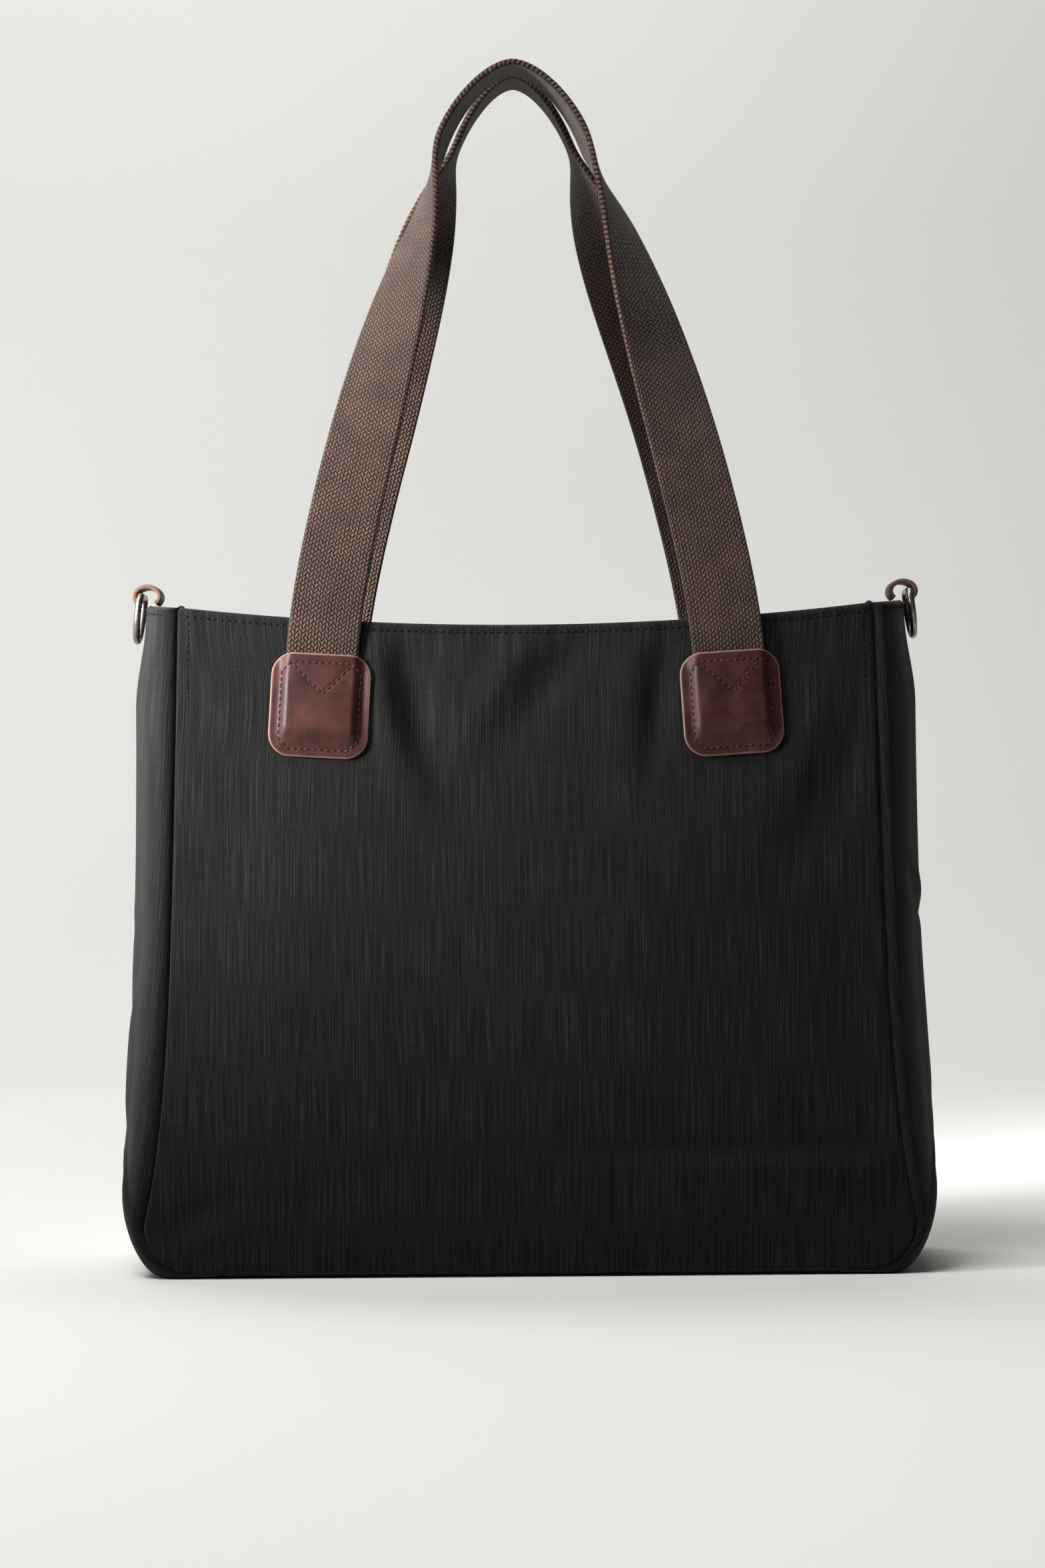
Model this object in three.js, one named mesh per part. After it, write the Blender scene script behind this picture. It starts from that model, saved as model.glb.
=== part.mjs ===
// An open-top canvas tote bag with two long webbing handles, in millimetres, +Z up.
// The origin is on the floor under the middle of the bag; -Y is the front face and +X the bag's right
// as the front is seen. The bag is sewn from two faces, two side gussets and a base, with a lining, a facing
// under the rim, a stiffening board, leather strap patches and a D-ring in a leather tab at each side.
import * as THREE from "three";

// ---- Driving dimensions ------------------------------------------------------------------------------
// Bag shell
const RIM_HEIGHT = 355; // side seams, floor to rim
const RIM_SAG = 10.5; // how far the rim hangs at the middle of a face
const HALF_WIDTH = 204.5; // middle to side seam, just above the bottom corners
const BASE_HALF_DEPTH = 65; // middle to front seam at the floor
const RIM_HALF_DEPTH = 52; // the same at the rim
const CORNER_RADIUS = 26; // rounded bottom corners of the faces
const SEAM_LIFT = 2.5; // bottom seam above the floor
const SEAM_FLARE = 13; // how far the side seams flare out towards the bottom corners
const FLARE_HEIGHT = 60; // height over which most of the flare goes
const SEAM_TAPER = 7; // further narrowing of the faces up to the rim
const FACE_BULGE = 10; // how far a filled face stands out at mid height
const RIM_BOW = 3; // how far the rim bows out at the middle of a face
const FACE_FULLNESS = 2.6; // exponent of the face's bulge across its width
const GUSSET_SPREAD = 7.5; // how far a gusset's middle stands out past HALF_WIDTH
const GUSSET_BELLY = 7; // more spread, low down
const BELLY_HEIGHT = 72; // height of the widest point
const BELLY_REACH = 85; // height over which the belly fades
const HEM_PULL = 6.5; // how far the hem draws the gusset's middle in
const HEM_REACH = 52; // height over which it does so
const GUSSET_RISE = 2.5; // gusset's middle above the side seams at the rim
const GUSSET_FULLNESS = 2.4; // exponent of the gusset's bulge across its width
const BASE_FULLNESS = 16; // the same under the bag, where it lies flat
const BASE_TURN = 9; // width of the base's edge that turns up to its seam
const FOOT_INSET = 24.5; // how far the gusset's middle turns in from the belly to the floor
const FOOT_ROUNDNESS = 2; // exponent of that turn
const CROSS_SEAM_INSET = 41.5; // HALF_WIDTH to the seams between gussets and base, under the bag

// Cloth layers, each counted inward from the outer surface
const CANVAS = 1.2;
const LINING = 0.6;
const FACING = 1.0;
const FACING_DEPTH = 45; // facing band, rim to lower edge
const LINING_LAYER = 4.2; // outer surface to the lining's or facing's back
const BOARD_LAYER = 1.8;
const BOARD = 2; // thickness of the base board
const BOARD_MARGIN = 11.5; // board's edge inside the base seam
const SEAM_GAP = 0.25; // each sheet's edge to its seam line

// Handles
const WEBBING_WIDTH = 38;
const WEBBING = 3.4; // thickness
const HANDLE_X = 109; // middle of a strap patch
const HANDLE_RISE = 316; // strap's fold line to the middle of the handle's top
const HANDLE_PARTING = 3.2; // between the tops of the two handles
const HANDLE_LEAN = -4.5; // how far the handle's top stands off the bag's middle
const CROWN_HEIGHT = 42; // a handle's rounded top, from its shoulders up
const CROWN_HALF_WIDTH = { front: 39.5, back: 34.5 }; // middle to a shoulder
const SHOULDER_SLOPE = 18; // degrees that a leg leans in at its shoulder
const TWIST_POWER = { front: 1.6, back: 4.5 }; // how late a leg makes its quarter twist
const STRAP_TAIL = 47; // webbing end under the patch
const FOOT_PULL = 1 / 5; // share of a leg's length that its curve's handle takes at the patch
const SHOULDER_PULL = 1 / 3; // the same at the shoulder
const CROWN_PULL = 1 / 2; // share of the crown's height that its curve's handle takes at the shoulder
const TOP_PULL = 1 / 3; // share of the crown's half width that it takes at the top
const TOP_DIP = 1; // how far that handle dips under the top

// Strap patches
const PATCH_MARGIN = 7.5; // webbing's edge to the patch's edge
const PATCH_HEIGHT = 55;
const PATCH_RADIUS = 12;
const PATCH_DROP = 25.3; // rim level to patch top
const PATCH_TILT = 3.5; // degrees, top leaning in
const PATCH_LEATHER = 2;
const PATCH_SKIRT = 3; // flat border outside the raised middle
const PATCH_SHOULDER = 2; // raised middle's edge outside the webbing's edge
const BACKER = 1.6;
const BACKER_MARGIN = 4; // backer's edge inside the patch's edge
const RAISED_REACH = 0.94; // most of the half width that the raised middle takes at a rounded corner
const BORDER_REACH = 0.97; // the same for the border's inner edge

// Side rings and their tabs
const WIRE = 3.8; // ring wire diameter
const RING_INSIDE = 25; // width inside the ring
const RING_REACH = 24; // bar's middle to the bow's middle
const RING_CORNER = 3.5;
const RING_SWING_GAP = 2; // ring to gusset
const TAB_WIDTH = 22;
const TAB_LEATHER = 2.5;
const TAB_HOLE = [11, 8]; // width and height inside the tab's loop
const TAB_LEAN = 2.2; // how far the loop leans out from its tail
const TAB_THROAT = 1.2; // leather under the hole, where the loop is pinched on the rim
const TAB_TAIL_LEATHER = 1.1; // skived thickness of the ends inside the hem
const TAB_LAYER = 2.4; // outer surface to the tail

// Inside the bag
const SNAP_DROP = 24; // rim to the snaps' middle
const SNAP_RADIUS = 9;
const SNAP_PLATE = 1.8;
const SNAP_STUD_RADIUS = 3.4;
const SNAP_STUD = 1.8;
const WASHER_RADIUS = 8;
const WASHER = 0.8;
const ZIP_LENGTH = 150;
const ZIP_TAPE_HEIGHT = 22;
const ZIP_STOP = 4; // tape's end to the coil's end
const ZIP_TAPE = 0.8;
const ZIP_DROP = 20; // facing's lower edge to the zip's middle
const ZIP_COIL_HEIGHT = 4.5;
const ZIP_COIL = 1.6;
const SLIDER = [9, 2.2, 8];
const PULL = [5, 1.2, 24];
const PULL_HANG = 2; // pull's top above the zip's middle
const POCKET_WIDTH = 160;
const POCKET_HEIGHT = 130;
const POCKET_DROP = 18; // facing's lower edge to the pocket's mouth

const GAP = 0.4; // between pieces that touch
const FIT = 0.8; // between a flat piece and the curved cloth it lies on

// ---- Small helpers -----------------------------------------------------------------------------------
const lerp = THREE.MathUtils.lerp;
const smooth = (t) => THREE.MathUtils.smoothstep(t, 0, 1);
const steps = (from, to, count) => Array.from({ length: count + 1 }, (_, i) => lerp(from, to, i / count));

/** A closed geometry between two grids of points, rows by columns, with its faces turned outwards. */
function sheetBetween(outer, inner) {
  const rows = outer.length;
  const cols = outer[0].length;
  const points = [...outer.flat(), ...inner.flat()];
  const at = (face, r, c) => face * rows * cols + r * cols + c;
  const quads = [];
  for (let r = 0; r < rows - 1; r++) {
    for (let c = 0; c < cols - 1; c++) {
      quads.push([at(0, r, c), at(0, r, c + 1), at(0, r + 1, c + 1), at(0, r + 1, c)]);
      quads.push([at(1, r, c), at(1, r + 1, c), at(1, r + 1, c + 1), at(1, r, c + 1)]);
    }
  }
  for (let r = 0; r < rows - 1; r++) {
    const c = cols - 1;
    quads.push([at(0, r + 1, 0), at(1, r + 1, 0), at(1, r, 0), at(0, r, 0)]);
    quads.push([at(0, r, c), at(1, r, c), at(1, r + 1, c), at(0, r + 1, c)]);
  }
  for (let c = 0; c < cols - 1; c++) {
    const r = rows - 1;
    quads.push([at(0, 0, c), at(1, 0, c), at(1, 0, c + 1), at(0, 0, c + 1)]);
    quads.push([at(0, r, c + 1), at(1, r, c + 1), at(1, r, c), at(0, r, c)]);
  }
  return facingOut(points, quads.flatMap(([a, b, c, d]) => [a, b, c, a, c, d]));
}

/** A geometry from points and triangle corners, reversed if its signed volume is negative. */
function facingOut(points, corners) {
  const side = new THREE.Vector3();
  let volume = 0;
  for (let i = 0; i < corners.length; i += 3) {
    const [a, b, c] = corners.slice(i, i + 3).map((k) => points[k]);
    volume += a.dot(side.crossVectors(b, c));
  }
  const geometry = new THREE.BufferGeometry().setFromPoints(points);
  geometry.setIndex(volume < 0 ? corners.toReversed() : corners);
  geometry.computeVertexNormals();
  return geometry;
}

/** A wire of round section along a closed flat path in the YZ plane. */
function closedWire(path, diameter, sides) {
  const across = new THREE.Vector3(1, 0, 0);
  const rings = path.map((point, i) => {
    const next = path[(i + 1) % path.length];
    const last = path[(i + path.length - 1) % path.length];
    const out = new THREE.Vector3().subVectors(next, last).normalize().cross(across);
    return steps(0, 2 * Math.PI, sides).slice(0, sides).map((turn) =>
      point.clone()
        .addScaledVector(out, (Math.cos(turn + Math.PI / sides) * diameter) / 2)
        .addScaledVector(across, (Math.sin(turn + Math.PI / sides) * diameter) / 2));
  });
  const corners = rings.flatMap((_, i) => rings[i].flatMap((__, k) => {
    const [a, b] = [i * sides + k, i * sides + ((k + 1) % sides)];
    const ahead = ((i + 1) % rings.length) * sides;
    const [c, d] = [ahead + ((k + 1) % sides), ahead + k];
    return [a, b, c, a, c, d];
  }));
  return facingOut(rings.flat(), corners);
}

// ---- The bag's shape ---------------------------------------------------------------------------------
const CORNER_TOP = SEAM_LIFT + CORNER_RADIUS;
const CROSS_SEAM_X = HALF_WIDTH - CROSS_SEAM_INSET;

/** Middle to side seam at a height above the rounded corner. */
const seamHalfWidth = (z) =>
  HALF_WIDTH -
  SEAM_FLARE * (1 - Math.exp(-(z - CORNER_TOP) / FLARE_HEIGHT)) -
  (SEAM_TAPER * z) / RIM_HEIGHT;

/** Middle to the gusset's middle at a height above its foot. */
const gussetHalfWidth = (z) =>
  HALF_WIDTH + GUSSET_SPREAD +
  GUSSET_BELLY * Math.exp(-(((z - BELLY_HEIGHT) / BELLY_REACH) ** 2)) -
  HEM_PULL * smooth((z - RIM_HEIGHT + HEM_REACH) / HEM_REACH);

/** Middle to the front or back seam at a height. */
const seamHalfDepth = (z) => lerp(BASE_HALF_DEPTH, RIM_HALF_DEPTH, z / RIM_HEIGHT);

/** How far the middle of a face stands out past its seams at a height. */
const faceBulge = (z) => {
  const share = THREE.MathUtils.clamp(z / RIM_HEIGHT, 0, 1);
  return FACE_BULGE * Math.sin(Math.PI * share ** 0.75) + RIM_BOW * share;
};

/** Half depth of a face's outer surface at a place on it. */
const faceHalfDepth = (x, z) => {
  const share = Math.min(1, Math.abs(x) / seamHalfWidth(Math.max(z, CORNER_TOP)));
  return seamHalfDepth(z) + faceBulge(z) * (1 - share ** FACE_FULLNESS);
};

/** Height of a point of a face once the rim has sagged; share runs from -1 to 1 across the face. */
const sagged = (z, share) => {
  const up = Math.max(0, (z - SEAM_LIFT) / (RIM_HEIGHT - SEAM_LIFT));
  return z - RIM_SAG * (1 - share * share) * up * up;
};

/** A point in X and Z: s runs 0 to 1 down the side, 1 to 2 round the corner and 2 to 3 along the base. */
function seamLine(s) {
  const cornerX = seamHalfWidth(CORNER_TOP) - CORNER_RADIUS;
  if (s <= 1) {
    const z = lerp(RIM_HEIGHT, CORNER_TOP, s);
    return new THREE.Vector2(seamHalfWidth(z), z);
  }
  if (s >= 2) return new THREE.Vector2(lerp(cornerX, CROSS_SEAM_X, s - 2), SEAM_LIFT);
  const turn = ((s - 1) * Math.PI) / 2;
  return new THREE.Vector2(
    cornerX + CORNER_RADIUS * Math.cos(turn), CORNER_TOP - CORNER_RADIUS * Math.sin(turn));
}

/** The gusset's middle line, by the same s. */
function gussetLine(s) {
  const footX = gussetHalfWidth(BELLY_HEIGHT) - FOOT_INSET;
  if (s <= 1) {
    const z = lerp(RIM_HEIGHT + GUSSET_RISE, BELLY_HEIGHT, s);
    return new THREE.Vector2(gussetHalfWidth(z), z);
  }
  if (s >= 2) return new THREE.Vector2(lerp(footX, CROSS_SEAM_X, s - 2), 0);
  const turn = ((s - 1) * Math.PI) / 2;
  const power = 2 / FOOT_ROUNDNESS;
  return new THREE.Vector2(
    footX + FOOT_INSET * Math.cos(turn) ** power, BELLY_HEIGHT * (1 - Math.sin(turn) ** power));
}

/** A line's point at s moved by a distance towards the inside of the bag. */
function insetPoint(line, s, distance) {
  const near = 0.004; // step of s over which the line's direction is taken
  const along = line(Math.min(3, s + near)).sub(line(Math.max(0, s - near))).normalize();
  return line(s).add(new THREE.Vector2(along.y, -along.x).multiplyScalar(distance));
}

/** Where s is at a depth below the rim. */
const sAtDrop = (drop) => drop / (RIM_HEIGHT - CORNER_TOP);

// ---- Sheets that follow the bag's shape ----------------------------------------------------------------
const facingRows = steps(0, sAtDrop(FACING_DEPTH), 2);
const liningRows = [...steps(sAtDrop(FACING_DEPTH + GAP), 1, 7), ...steps(1.33, 2, 2)];
const panelRows = [...facingRows, ...liningRows.slice(1)];

/** A sheet of the front (side -1) or back (side 1) face, at a layer, over the given rows of s. */
function faceSheet(side, layer, thickness, rows, columns = 12) {
  const grid = (depth) => rows.map((s) => {
    const edge = insetPoint(seamLine, s, depth + SEAM_GAP);
    return steps(-1, 1, columns).map((share) => {
      const z = sagged(edge.y, share);
      return new THREE.Vector3(share * edge.x, side * (faceHalfDepth(share * edge.x, z) - depth), z);
    });
  });
  return sheetBetween(grid(layer), grid(layer + thickness));
}

/** A sheet of the left (side -1) or right (side 1) gusset, at a layer, over the given rows of s. */
function gussetSheet(side, layer, thickness, rows, columns = 8) {
  const grid = (depth) => rows.map((s) => {
    const seam = insetPoint(seamLine, s, depth);
    const middle = insetPoint(gussetLine, s, depth);
    const fullness = lerp(GUSSET_FULLNESS, BASE_FULLNESS, THREE.MathUtils.clamp(s - 1, 0, 1));
    const butt = s >= 3 ? SEAM_GAP : 0;
    const halfDepth = seamHalfDepth(seam.y) - depth - SEAM_GAP;
    return steps(-1, 1, columns).map((share) => {
      const at = seam.clone().lerp(middle, 1 - Math.abs(share) ** fullness);
      return new THREE.Vector3(side * (at.x + butt), share * halfDepth, at.y);
    });
  });
  return sheetBetween(grid(layer), grid(layer + thickness));
}

/** The flat sheet under the bag between the cross seams, at a layer, its long edges turned up to the seams. */
function baseSheet(layer, thickness) {
  const end = CROSS_SEAM_X - SEAM_GAP;
  const grid = (depth) => {
    const edge = seamHalfDepth(SEAM_LIFT) - depth - SEAM_GAP;
    const flat = edge - BASE_TURN;
    const across = [[-edge, SEAM_LIFT], [-flat, 0], [flat, 0], [edge, SEAM_LIFT]];
    return [-end, end].map((x) => across.map(([y, lift]) => new THREE.Vector3(x, y, depth + lift)));
  };
  return sheetBetween(grid(layer), grid(layer + thickness));
}

/** Where a strap patch is: its middle and its tilted axes, for the left (-1) or right (1) leg. */
function patchFrame(leg) {
  const lean = THREE.MathUtils.degToRad(PATCH_TILT);
  return {
    middle: new THREE.Vector2(leg * HANDLE_X, RIM_HEIGHT - PATCH_DROP - PATCH_HEIGHT / 2),
    right: new THREE.Vector2(Math.cos(lean), leg * Math.sin(lean)),
    up: new THREE.Vector2(-leg * Math.sin(lean), Math.cos(lean)),
  };
}

/** A sheet lying on a face round a patch frame: lift is how far each point stands off the outer surface. */
function patchSheet(side, leg, acrossAt, ups, lift, thickness) {
  const frame = patchFrame(leg);
  const grid = (extra) => ups.map((up) => acrossAt(up).map((across) => {
    const at = frame.middle.clone().addScaledVector(frame.right, across).addScaledVector(frame.up, up);
    return new THREE.Vector3(at.x, side * (faceHalfDepth(at.x, at.y) + lift(across, up) + extra), at.y);
  }));
  return sheetBetween(grid(thickness), grid(0));
}

const PATCH_WIDTH = WEBBING_WIDTH + 2 * PATCH_MARGIN;
const TAIL_LIFT = GAP; // canvas to webbing
const PATCH_LIFT = TAIL_LIFT + WEBBING + FIT; // canvas to the leather over the webbing
const TAIL_BOTTOM = PATCH_HEIGHT / 2 - STRAP_TAIL;

/** The webbing end sewn under a patch. */
function strapTail(side, leg) {
  const half = WEBBING_WIDTH / 2;
  const ups = steps(TAIL_BOTTOM, PATCH_HEIGHT / 2, 3);
  return patchSheet(side, leg, () => [-half, 0, half], ups, () => TAIL_LIFT, WEBBING);
}

/** A leather patch: a flat border, raised over the webbing end and open towards the handle. */
function strapPatch(side, leg) {
  const [halfWidth, halfHeight] = [PATCH_WIDTH / 2, PATCH_HEIGHT / 2];
  const raised = WEBBING_WIDTH / 2 + PATCH_SHOULDER;
  const border = halfWidth - PATCH_SKIRT;
  const foot = TAIL_BOTTOM - PATCH_SHOULDER;
  const footBorder = PATCH_SKIRT - halfHeight;
  const halfWidthAt = (up) => {
    const past = Math.max(0, Math.abs(up) - halfHeight + PATCH_RADIUS);
    return halfWidth - PATCH_RADIUS + Math.sqrt(Math.max(0, PATCH_RADIUS ** 2 - past ** 2));
  };
  const share = (value, from, to) => THREE.MathUtils.clamp((value - from) / (to - from), 0, 1);
  const lift = (across, up) =>
    lerp(GAP, PATCH_LIFT, share(Math.abs(across), border, raised) * share(up, footBorder, foot));
  const acrossAt = (up) => {
    const reach = halfWidthAt(up);
    const half = [Math.min(raised, RAISED_REACH * reach), Math.min(border, BORDER_REACH * reach), reach];
    return [...half.map((across) => -across).toReversed(), 0, ...half];
  };
  const bend = steps(0, Math.PI / 2, 4).map((turn) => halfHeight - PATCH_RADIUS * (1 - Math.sin(turn)));
  const ups = [...bend, 0, ...bend.map((up) => -up), footBorder, foot].sort((a, b) => a - b);
  return patchSheet(side, leg, acrossAt, ups, lift, PATCH_LEATHER);
}

/** The backing square behind a patch, between canvas and lining. */
function strapBacker(side, leg) {
  const half = PATCH_WIDTH / 2 - BACKER_MARGIN;
  const halfUp = PATCH_HEIGHT / 2 - BACKER_MARGIN;
  const lift = () => -CANVAS - FIT - BACKER;
  return patchSheet(side, leg, () => [-half, 0, half], [-halfUp, 0, halfUp], lift, BACKER);
}

// ---- Handles -----------------------------------------------------------------------------------------
const HANDLE_GATHER = (WEBBING_WIDTH + HANDLE_PARTING) / 2; // middle of the bag to a handle's middle line

/** Where the middle of the front right webbing leg leaves its patch. */
function handleFoot() {
  const frame = patchFrame(1);
  const at = frame.middle.clone().addScaledVector(frame.up, PATCH_HEIGHT / 2 + GAP);
  return new THREE.Vector3(at.x, -faceHalfDepth(at.x, at.y) - FIT - WEBBING / 2, at.y);
}

/** A unit vector in the XZ plane that leans from upright towards -X by so many degrees. */
const leaning = (degrees) =>
  new THREE.Vector3(0, 0, 1).applyAxisAngle(new THREE.Vector3(0, -1, 0), THREE.MathUtils.degToRad(degrees));

/** One handle as a ribbon: each leg turns by a quarter on its way up, so the top lies flat. */
function handleRibbon(side, crownHalfWidth, twistPower) {
  const foot = handleFoot();
  const top = new THREE.Vector3(0, -HANDLE_GATHER, foot.z + HANDLE_RISE);
  const shoulder = new THREE.Vector3(crownHalfWidth, -HANDLE_GATHER, top.z - CROWN_HEIGHT);
  const legLength = shoulder.distanceTo(foot);
  const leg = new THREE.CubicBezierCurve3(
    foot, foot.clone().addScaledVector(leaning(PATCH_TILT), FOOT_PULL * legLength),
    shoulder.clone().addScaledVector(leaning(SHOULDER_SLOPE), -SHOULDER_PULL * legLength), shoulder);
  const crown = new THREE.CubicBezierCurve3(
    shoulder, shoulder.clone().addScaledVector(leaning(SHOULDER_SLOPE), CROWN_PULL * CROWN_HEIGHT),
    top.clone().add(new THREE.Vector3(TOP_PULL * crownHalfWidth, 0, -TOP_DIP)), top);

  const station = (curve, t, hand) => {
    const middle = curve.getPoint(t);
    const along = curve.getTangent(t);
    const rise = Math.min(1, (middle.z - foot.z) / (shoulder.z - foot.z));
    const twist = (Math.PI / 2) * rise ** twistPower;
    const across = new THREE.Vector3(-Math.cos(twist), -Math.sin(twist), 0);
    across.addScaledVector(along, -across.dot(along)).normalize();
    const out = new THREE.Vector3().crossVectors(across, along);
    return [-1, 1].map((face) => [-1, 1].map((edge) => {
      const p = middle.clone()
        .addScaledVector(across, (edge * WEBBING_WIDTH) / 2)
        .addScaledVector(out, (face * WEBBING) / 2);
      const lean = HANDLE_LEAN * ((p.z - foot.z) / HANDLE_RISE) ** 2;
      return new THREE.Vector3(hand * p.x + lean, -side * p.y, p.z);
    }));
  };
  const half = (hand) => [
    ...steps(0, 1, 14).map((t) => station(leg, t, hand)),
    ...steps(0, 1, 6).slice(1).map((t) => station(crown, t, hand)),
  ];
  const rows = [...half(1), ...half(-1).toReversed().slice(1)];
  return sheetBetween(rows.map((row) => row[0]), rows.map((row) => row[1]));
}

// ---- Side rings and tabs ------------------------------------------------------------------------------
const RIM_TOP = RIM_HEIGHT + GUSSET_RISE;
const TAB_MIDDLE = new THREE.Vector2(
  gussetHalfWidth(RIM_TOP) - TAB_LAYER - TAB_TAIL_LEATHER / 2 + TAB_LEAN,
  RIM_TOP + GAP + TAB_THROAT + TAB_HOLE[1] / 2);
const BAR = TAB_MIDDLE.clone().add(new THREE.Vector2((TAB_HOLE[0] - WIRE) / 2 - GAP, 0));
const RING_BOW_X = gussetHalfWidth(BAR.y - RING_REACH) + RING_SWING_GAP + WIRE / 2;
const RING_LEAN = Math.asin((RING_BOW_X - BAR.x) / RING_REACH);

/** A tab for the right side: a leather loop above the rim with its skived ends inside the hem. */
function tabGeometry() {
  const [holeX, holeY] = TAB_HOLE.map((size) => size / 2);
  const foot = Math.asin((TAB_THROAT + holeY) / (TAB_LEATHER + holeY));
  const shape = new THREE.Shape();
  shape.absellipse(
    TAB_MIDDLE.x, TAB_MIDDLE.y, holeX + TAB_LEATHER, holeY + TAB_LEATHER, -foot, Math.PI + foot, false);
  const tail = [0, ...facingRows.slice(0, -1)].map((s, i) => insetPoint(gussetLine, s, TAB_LAYER)
    .add(new THREE.Vector2(0, i === 0 ? GAP : 0)));
  tail.forEach((at) => shape.lineTo(at.x - TAB_TAIL_LEATHER, at.y));
  tail.toReversed().forEach((at) => shape.lineTo(at.x, at.y));
  shape.closePath();
  const hole = new THREE.Path();
  hole.absellipse(TAB_MIDDLE.x, TAB_MIDDLE.y, holeX, holeY, 0, 2 * Math.PI, true);
  shape.holes.push(hole);
  const geometry = new THREE.ExtrudeGeometry(
    shape, { depth: TAB_WIDTH, bevelEnabled: false, curveSegments: 12 });
  return geometry.translate(0, 0, -TAB_WIDTH / 2).rotateX(Math.PI / 2);
}

/** A D-ring hanging from the origin, its bar along Y. */
function ringGeometry() {
  const half = (RING_INSIDE + WIRE) / 2;
  const path = new THREE.Path();
  path.moveTo(0, 0);
  path.lineTo(half - RING_CORNER, 0);
  path.absarc(half - RING_CORNER, -RING_CORNER, RING_CORNER, Math.PI / 2, 0, true);
  path.lineTo(half, half - RING_REACH);
  path.absarc(0, half - RING_REACH, half, 0, -Math.PI, true);
  path.lineTo(-half, -RING_CORNER);
  path.absarc(RING_CORNER - half, -RING_CORNER, RING_CORNER, Math.PI, Math.PI / 2, true);
  path.lineTo(0, 0);
  const flat = path.getPoints(5);
  const kept = flat.filter((p, i) => i === 0 || p.distanceTo(flat[i - 1]) > 0.2).slice(0, -1);
  return closedWire(kept.map((p) => new THREE.Vector3(0, p.x, p.y)), WIRE, 8);
}

// ---- Materials and assembly ----------------------------------------------------------------------------
const material = (color, roughness, metalness = 0) =>
  new THREE.MeshStandardMaterial({ color, roughness, metalness });
const CANVAS_CLOTH = material(0x232325, 0.92);
const LINING_CLOTH = material(0x4a4038, 0.9);
const WEBBING_CLOTH = material(0x4e3f38, 0.9);
const PATCH_HIDE = material(0x4a302c, 0.45);
const BACKING = material(0x2c2c2e, 0.8);
const BOARD_SHEET = material(0x303030, 0.7);
const GUNMETAL = material(0x6e6760, 0.3, 1);
const ZIP_CLOTH = material(0x26221f, 0.85);

const bag = new THREE.Group();

/** Adds a named mesh to a group and returns it. */
function add(parent, name, geometry, finish) {
  const mesh = new THREE.Mesh(geometry, finish);
  mesh.name = name;
  parent.add(mesh);
  return mesh;
}

// Canvas shell
for (const [name, side] of [["front", -1], ["back", 1]]) {
  add(bag, `${name}_panel`, faceSheet(side, 0, CANVAS, panelRows), CANVAS_CLOTH);
}
for (const [name, side] of [["left", -1], ["right", 1]]) {
  add(bag, `side_gusset_${name}`, gussetSheet(side, 0, CANVAS, [...panelRows, 3]), CANVAS_CLOTH);
}
add(bag, "base_panel", baseSheet(0, CANVAS), CANVAS_CLOTH);

// Facing under the rim and the lining below it
for (const [name, side] of [["front", -1], ["back", 1]]) {
  add(bag, `facing_${name}`, faceSheet(side, LINING_LAYER, FACING, facingRows), CANVAS_CLOTH);
  add(bag, `lining_${name}`, faceSheet(side, LINING_LAYER, LINING, liningRows), LINING_CLOTH);
}
for (const [name, side] of [["left", -1], ["right", 1]]) {
  add(bag, `facing_${name}`, gussetSheet(side, LINING_LAYER, FACING, facingRows), CANVAS_CLOTH);
  add(bag, `lining_${name}`, gussetSheet(side, LINING_LAYER, LINING, [...liningRows, 3]), LINING_CLOTH);
}
add(bag, "lining_base", baseSheet(LINING_LAYER, LINING), LINING_CLOTH);

const boardDepth = 2 * (seamHalfDepth(SEAM_LIFT) - BOARD_MARGIN);
const board = add(bag, "base_board", new THREE.BoxGeometry(2 * CROSS_SEAM_X, boardDepth, BOARD), BOARD_SHEET);
board.position.z = BOARD_LAYER + BOARD / 2;

// Handles with their patches, webbing ends and backers
for (const [face, side] of [["front", -1], ["back", 1]]) {
  const ribbon = handleRibbon(side, CROWN_HALF_WIDTH[face], TWIST_POWER[face]);
  add(bag, `${face}_handle`, ribbon, WEBBING_CLOTH);
  for (const [hand, leg] of [["left", -1], ["right", 1]]) {
    add(bag, `strap_tail_${face}_${hand}`, strapTail(side, leg), WEBBING_CLOTH);
    add(bag, `strap_patch_${face}_${hand}`, strapPatch(side, leg), PATCH_HIDE);
    add(bag, `strap_backer_${face}_${hand}`, strapBacker(side, leg), BACKING);
  }
}

// Side tabs and rings: the left side is the right one turned half round
for (const [hand, turn] of [["left", Math.PI], ["right", 0]]) {
  const end = new THREE.Group();
  end.rotation.z = turn;
  add(end, `ring_tab_${hand}`, tabGeometry(), PATCH_HIDE);
  const ring = add(end, `ring_${hand}`, ringGeometry(), GUNMETAL);
  ring.position.set(BAR.x, 0, BAR.y);
  ring.rotation.y = -RING_LEAN;
  bag.add(end);
}

/** A group standing on the inner cloth at the middle of a face, its +Y pointing into the bag. */
function innerPlace(side, z, layer) {
  const place = new THREE.Group();
  const reach = 5; // height above and below over which the cloth's lean is taken
  const lean = Math.atan2(faceHalfDepth(0, z + reach) - faceHalfDepth(0, z - reach), 2 * reach);
  place.position.set(0, side * (faceHalfDepth(0, z) - layer), z);
  place.rotation.set(-side * lean, 0, side > 0 ? Math.PI : 0);
  bag.add(place);
  return place;
}

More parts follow.
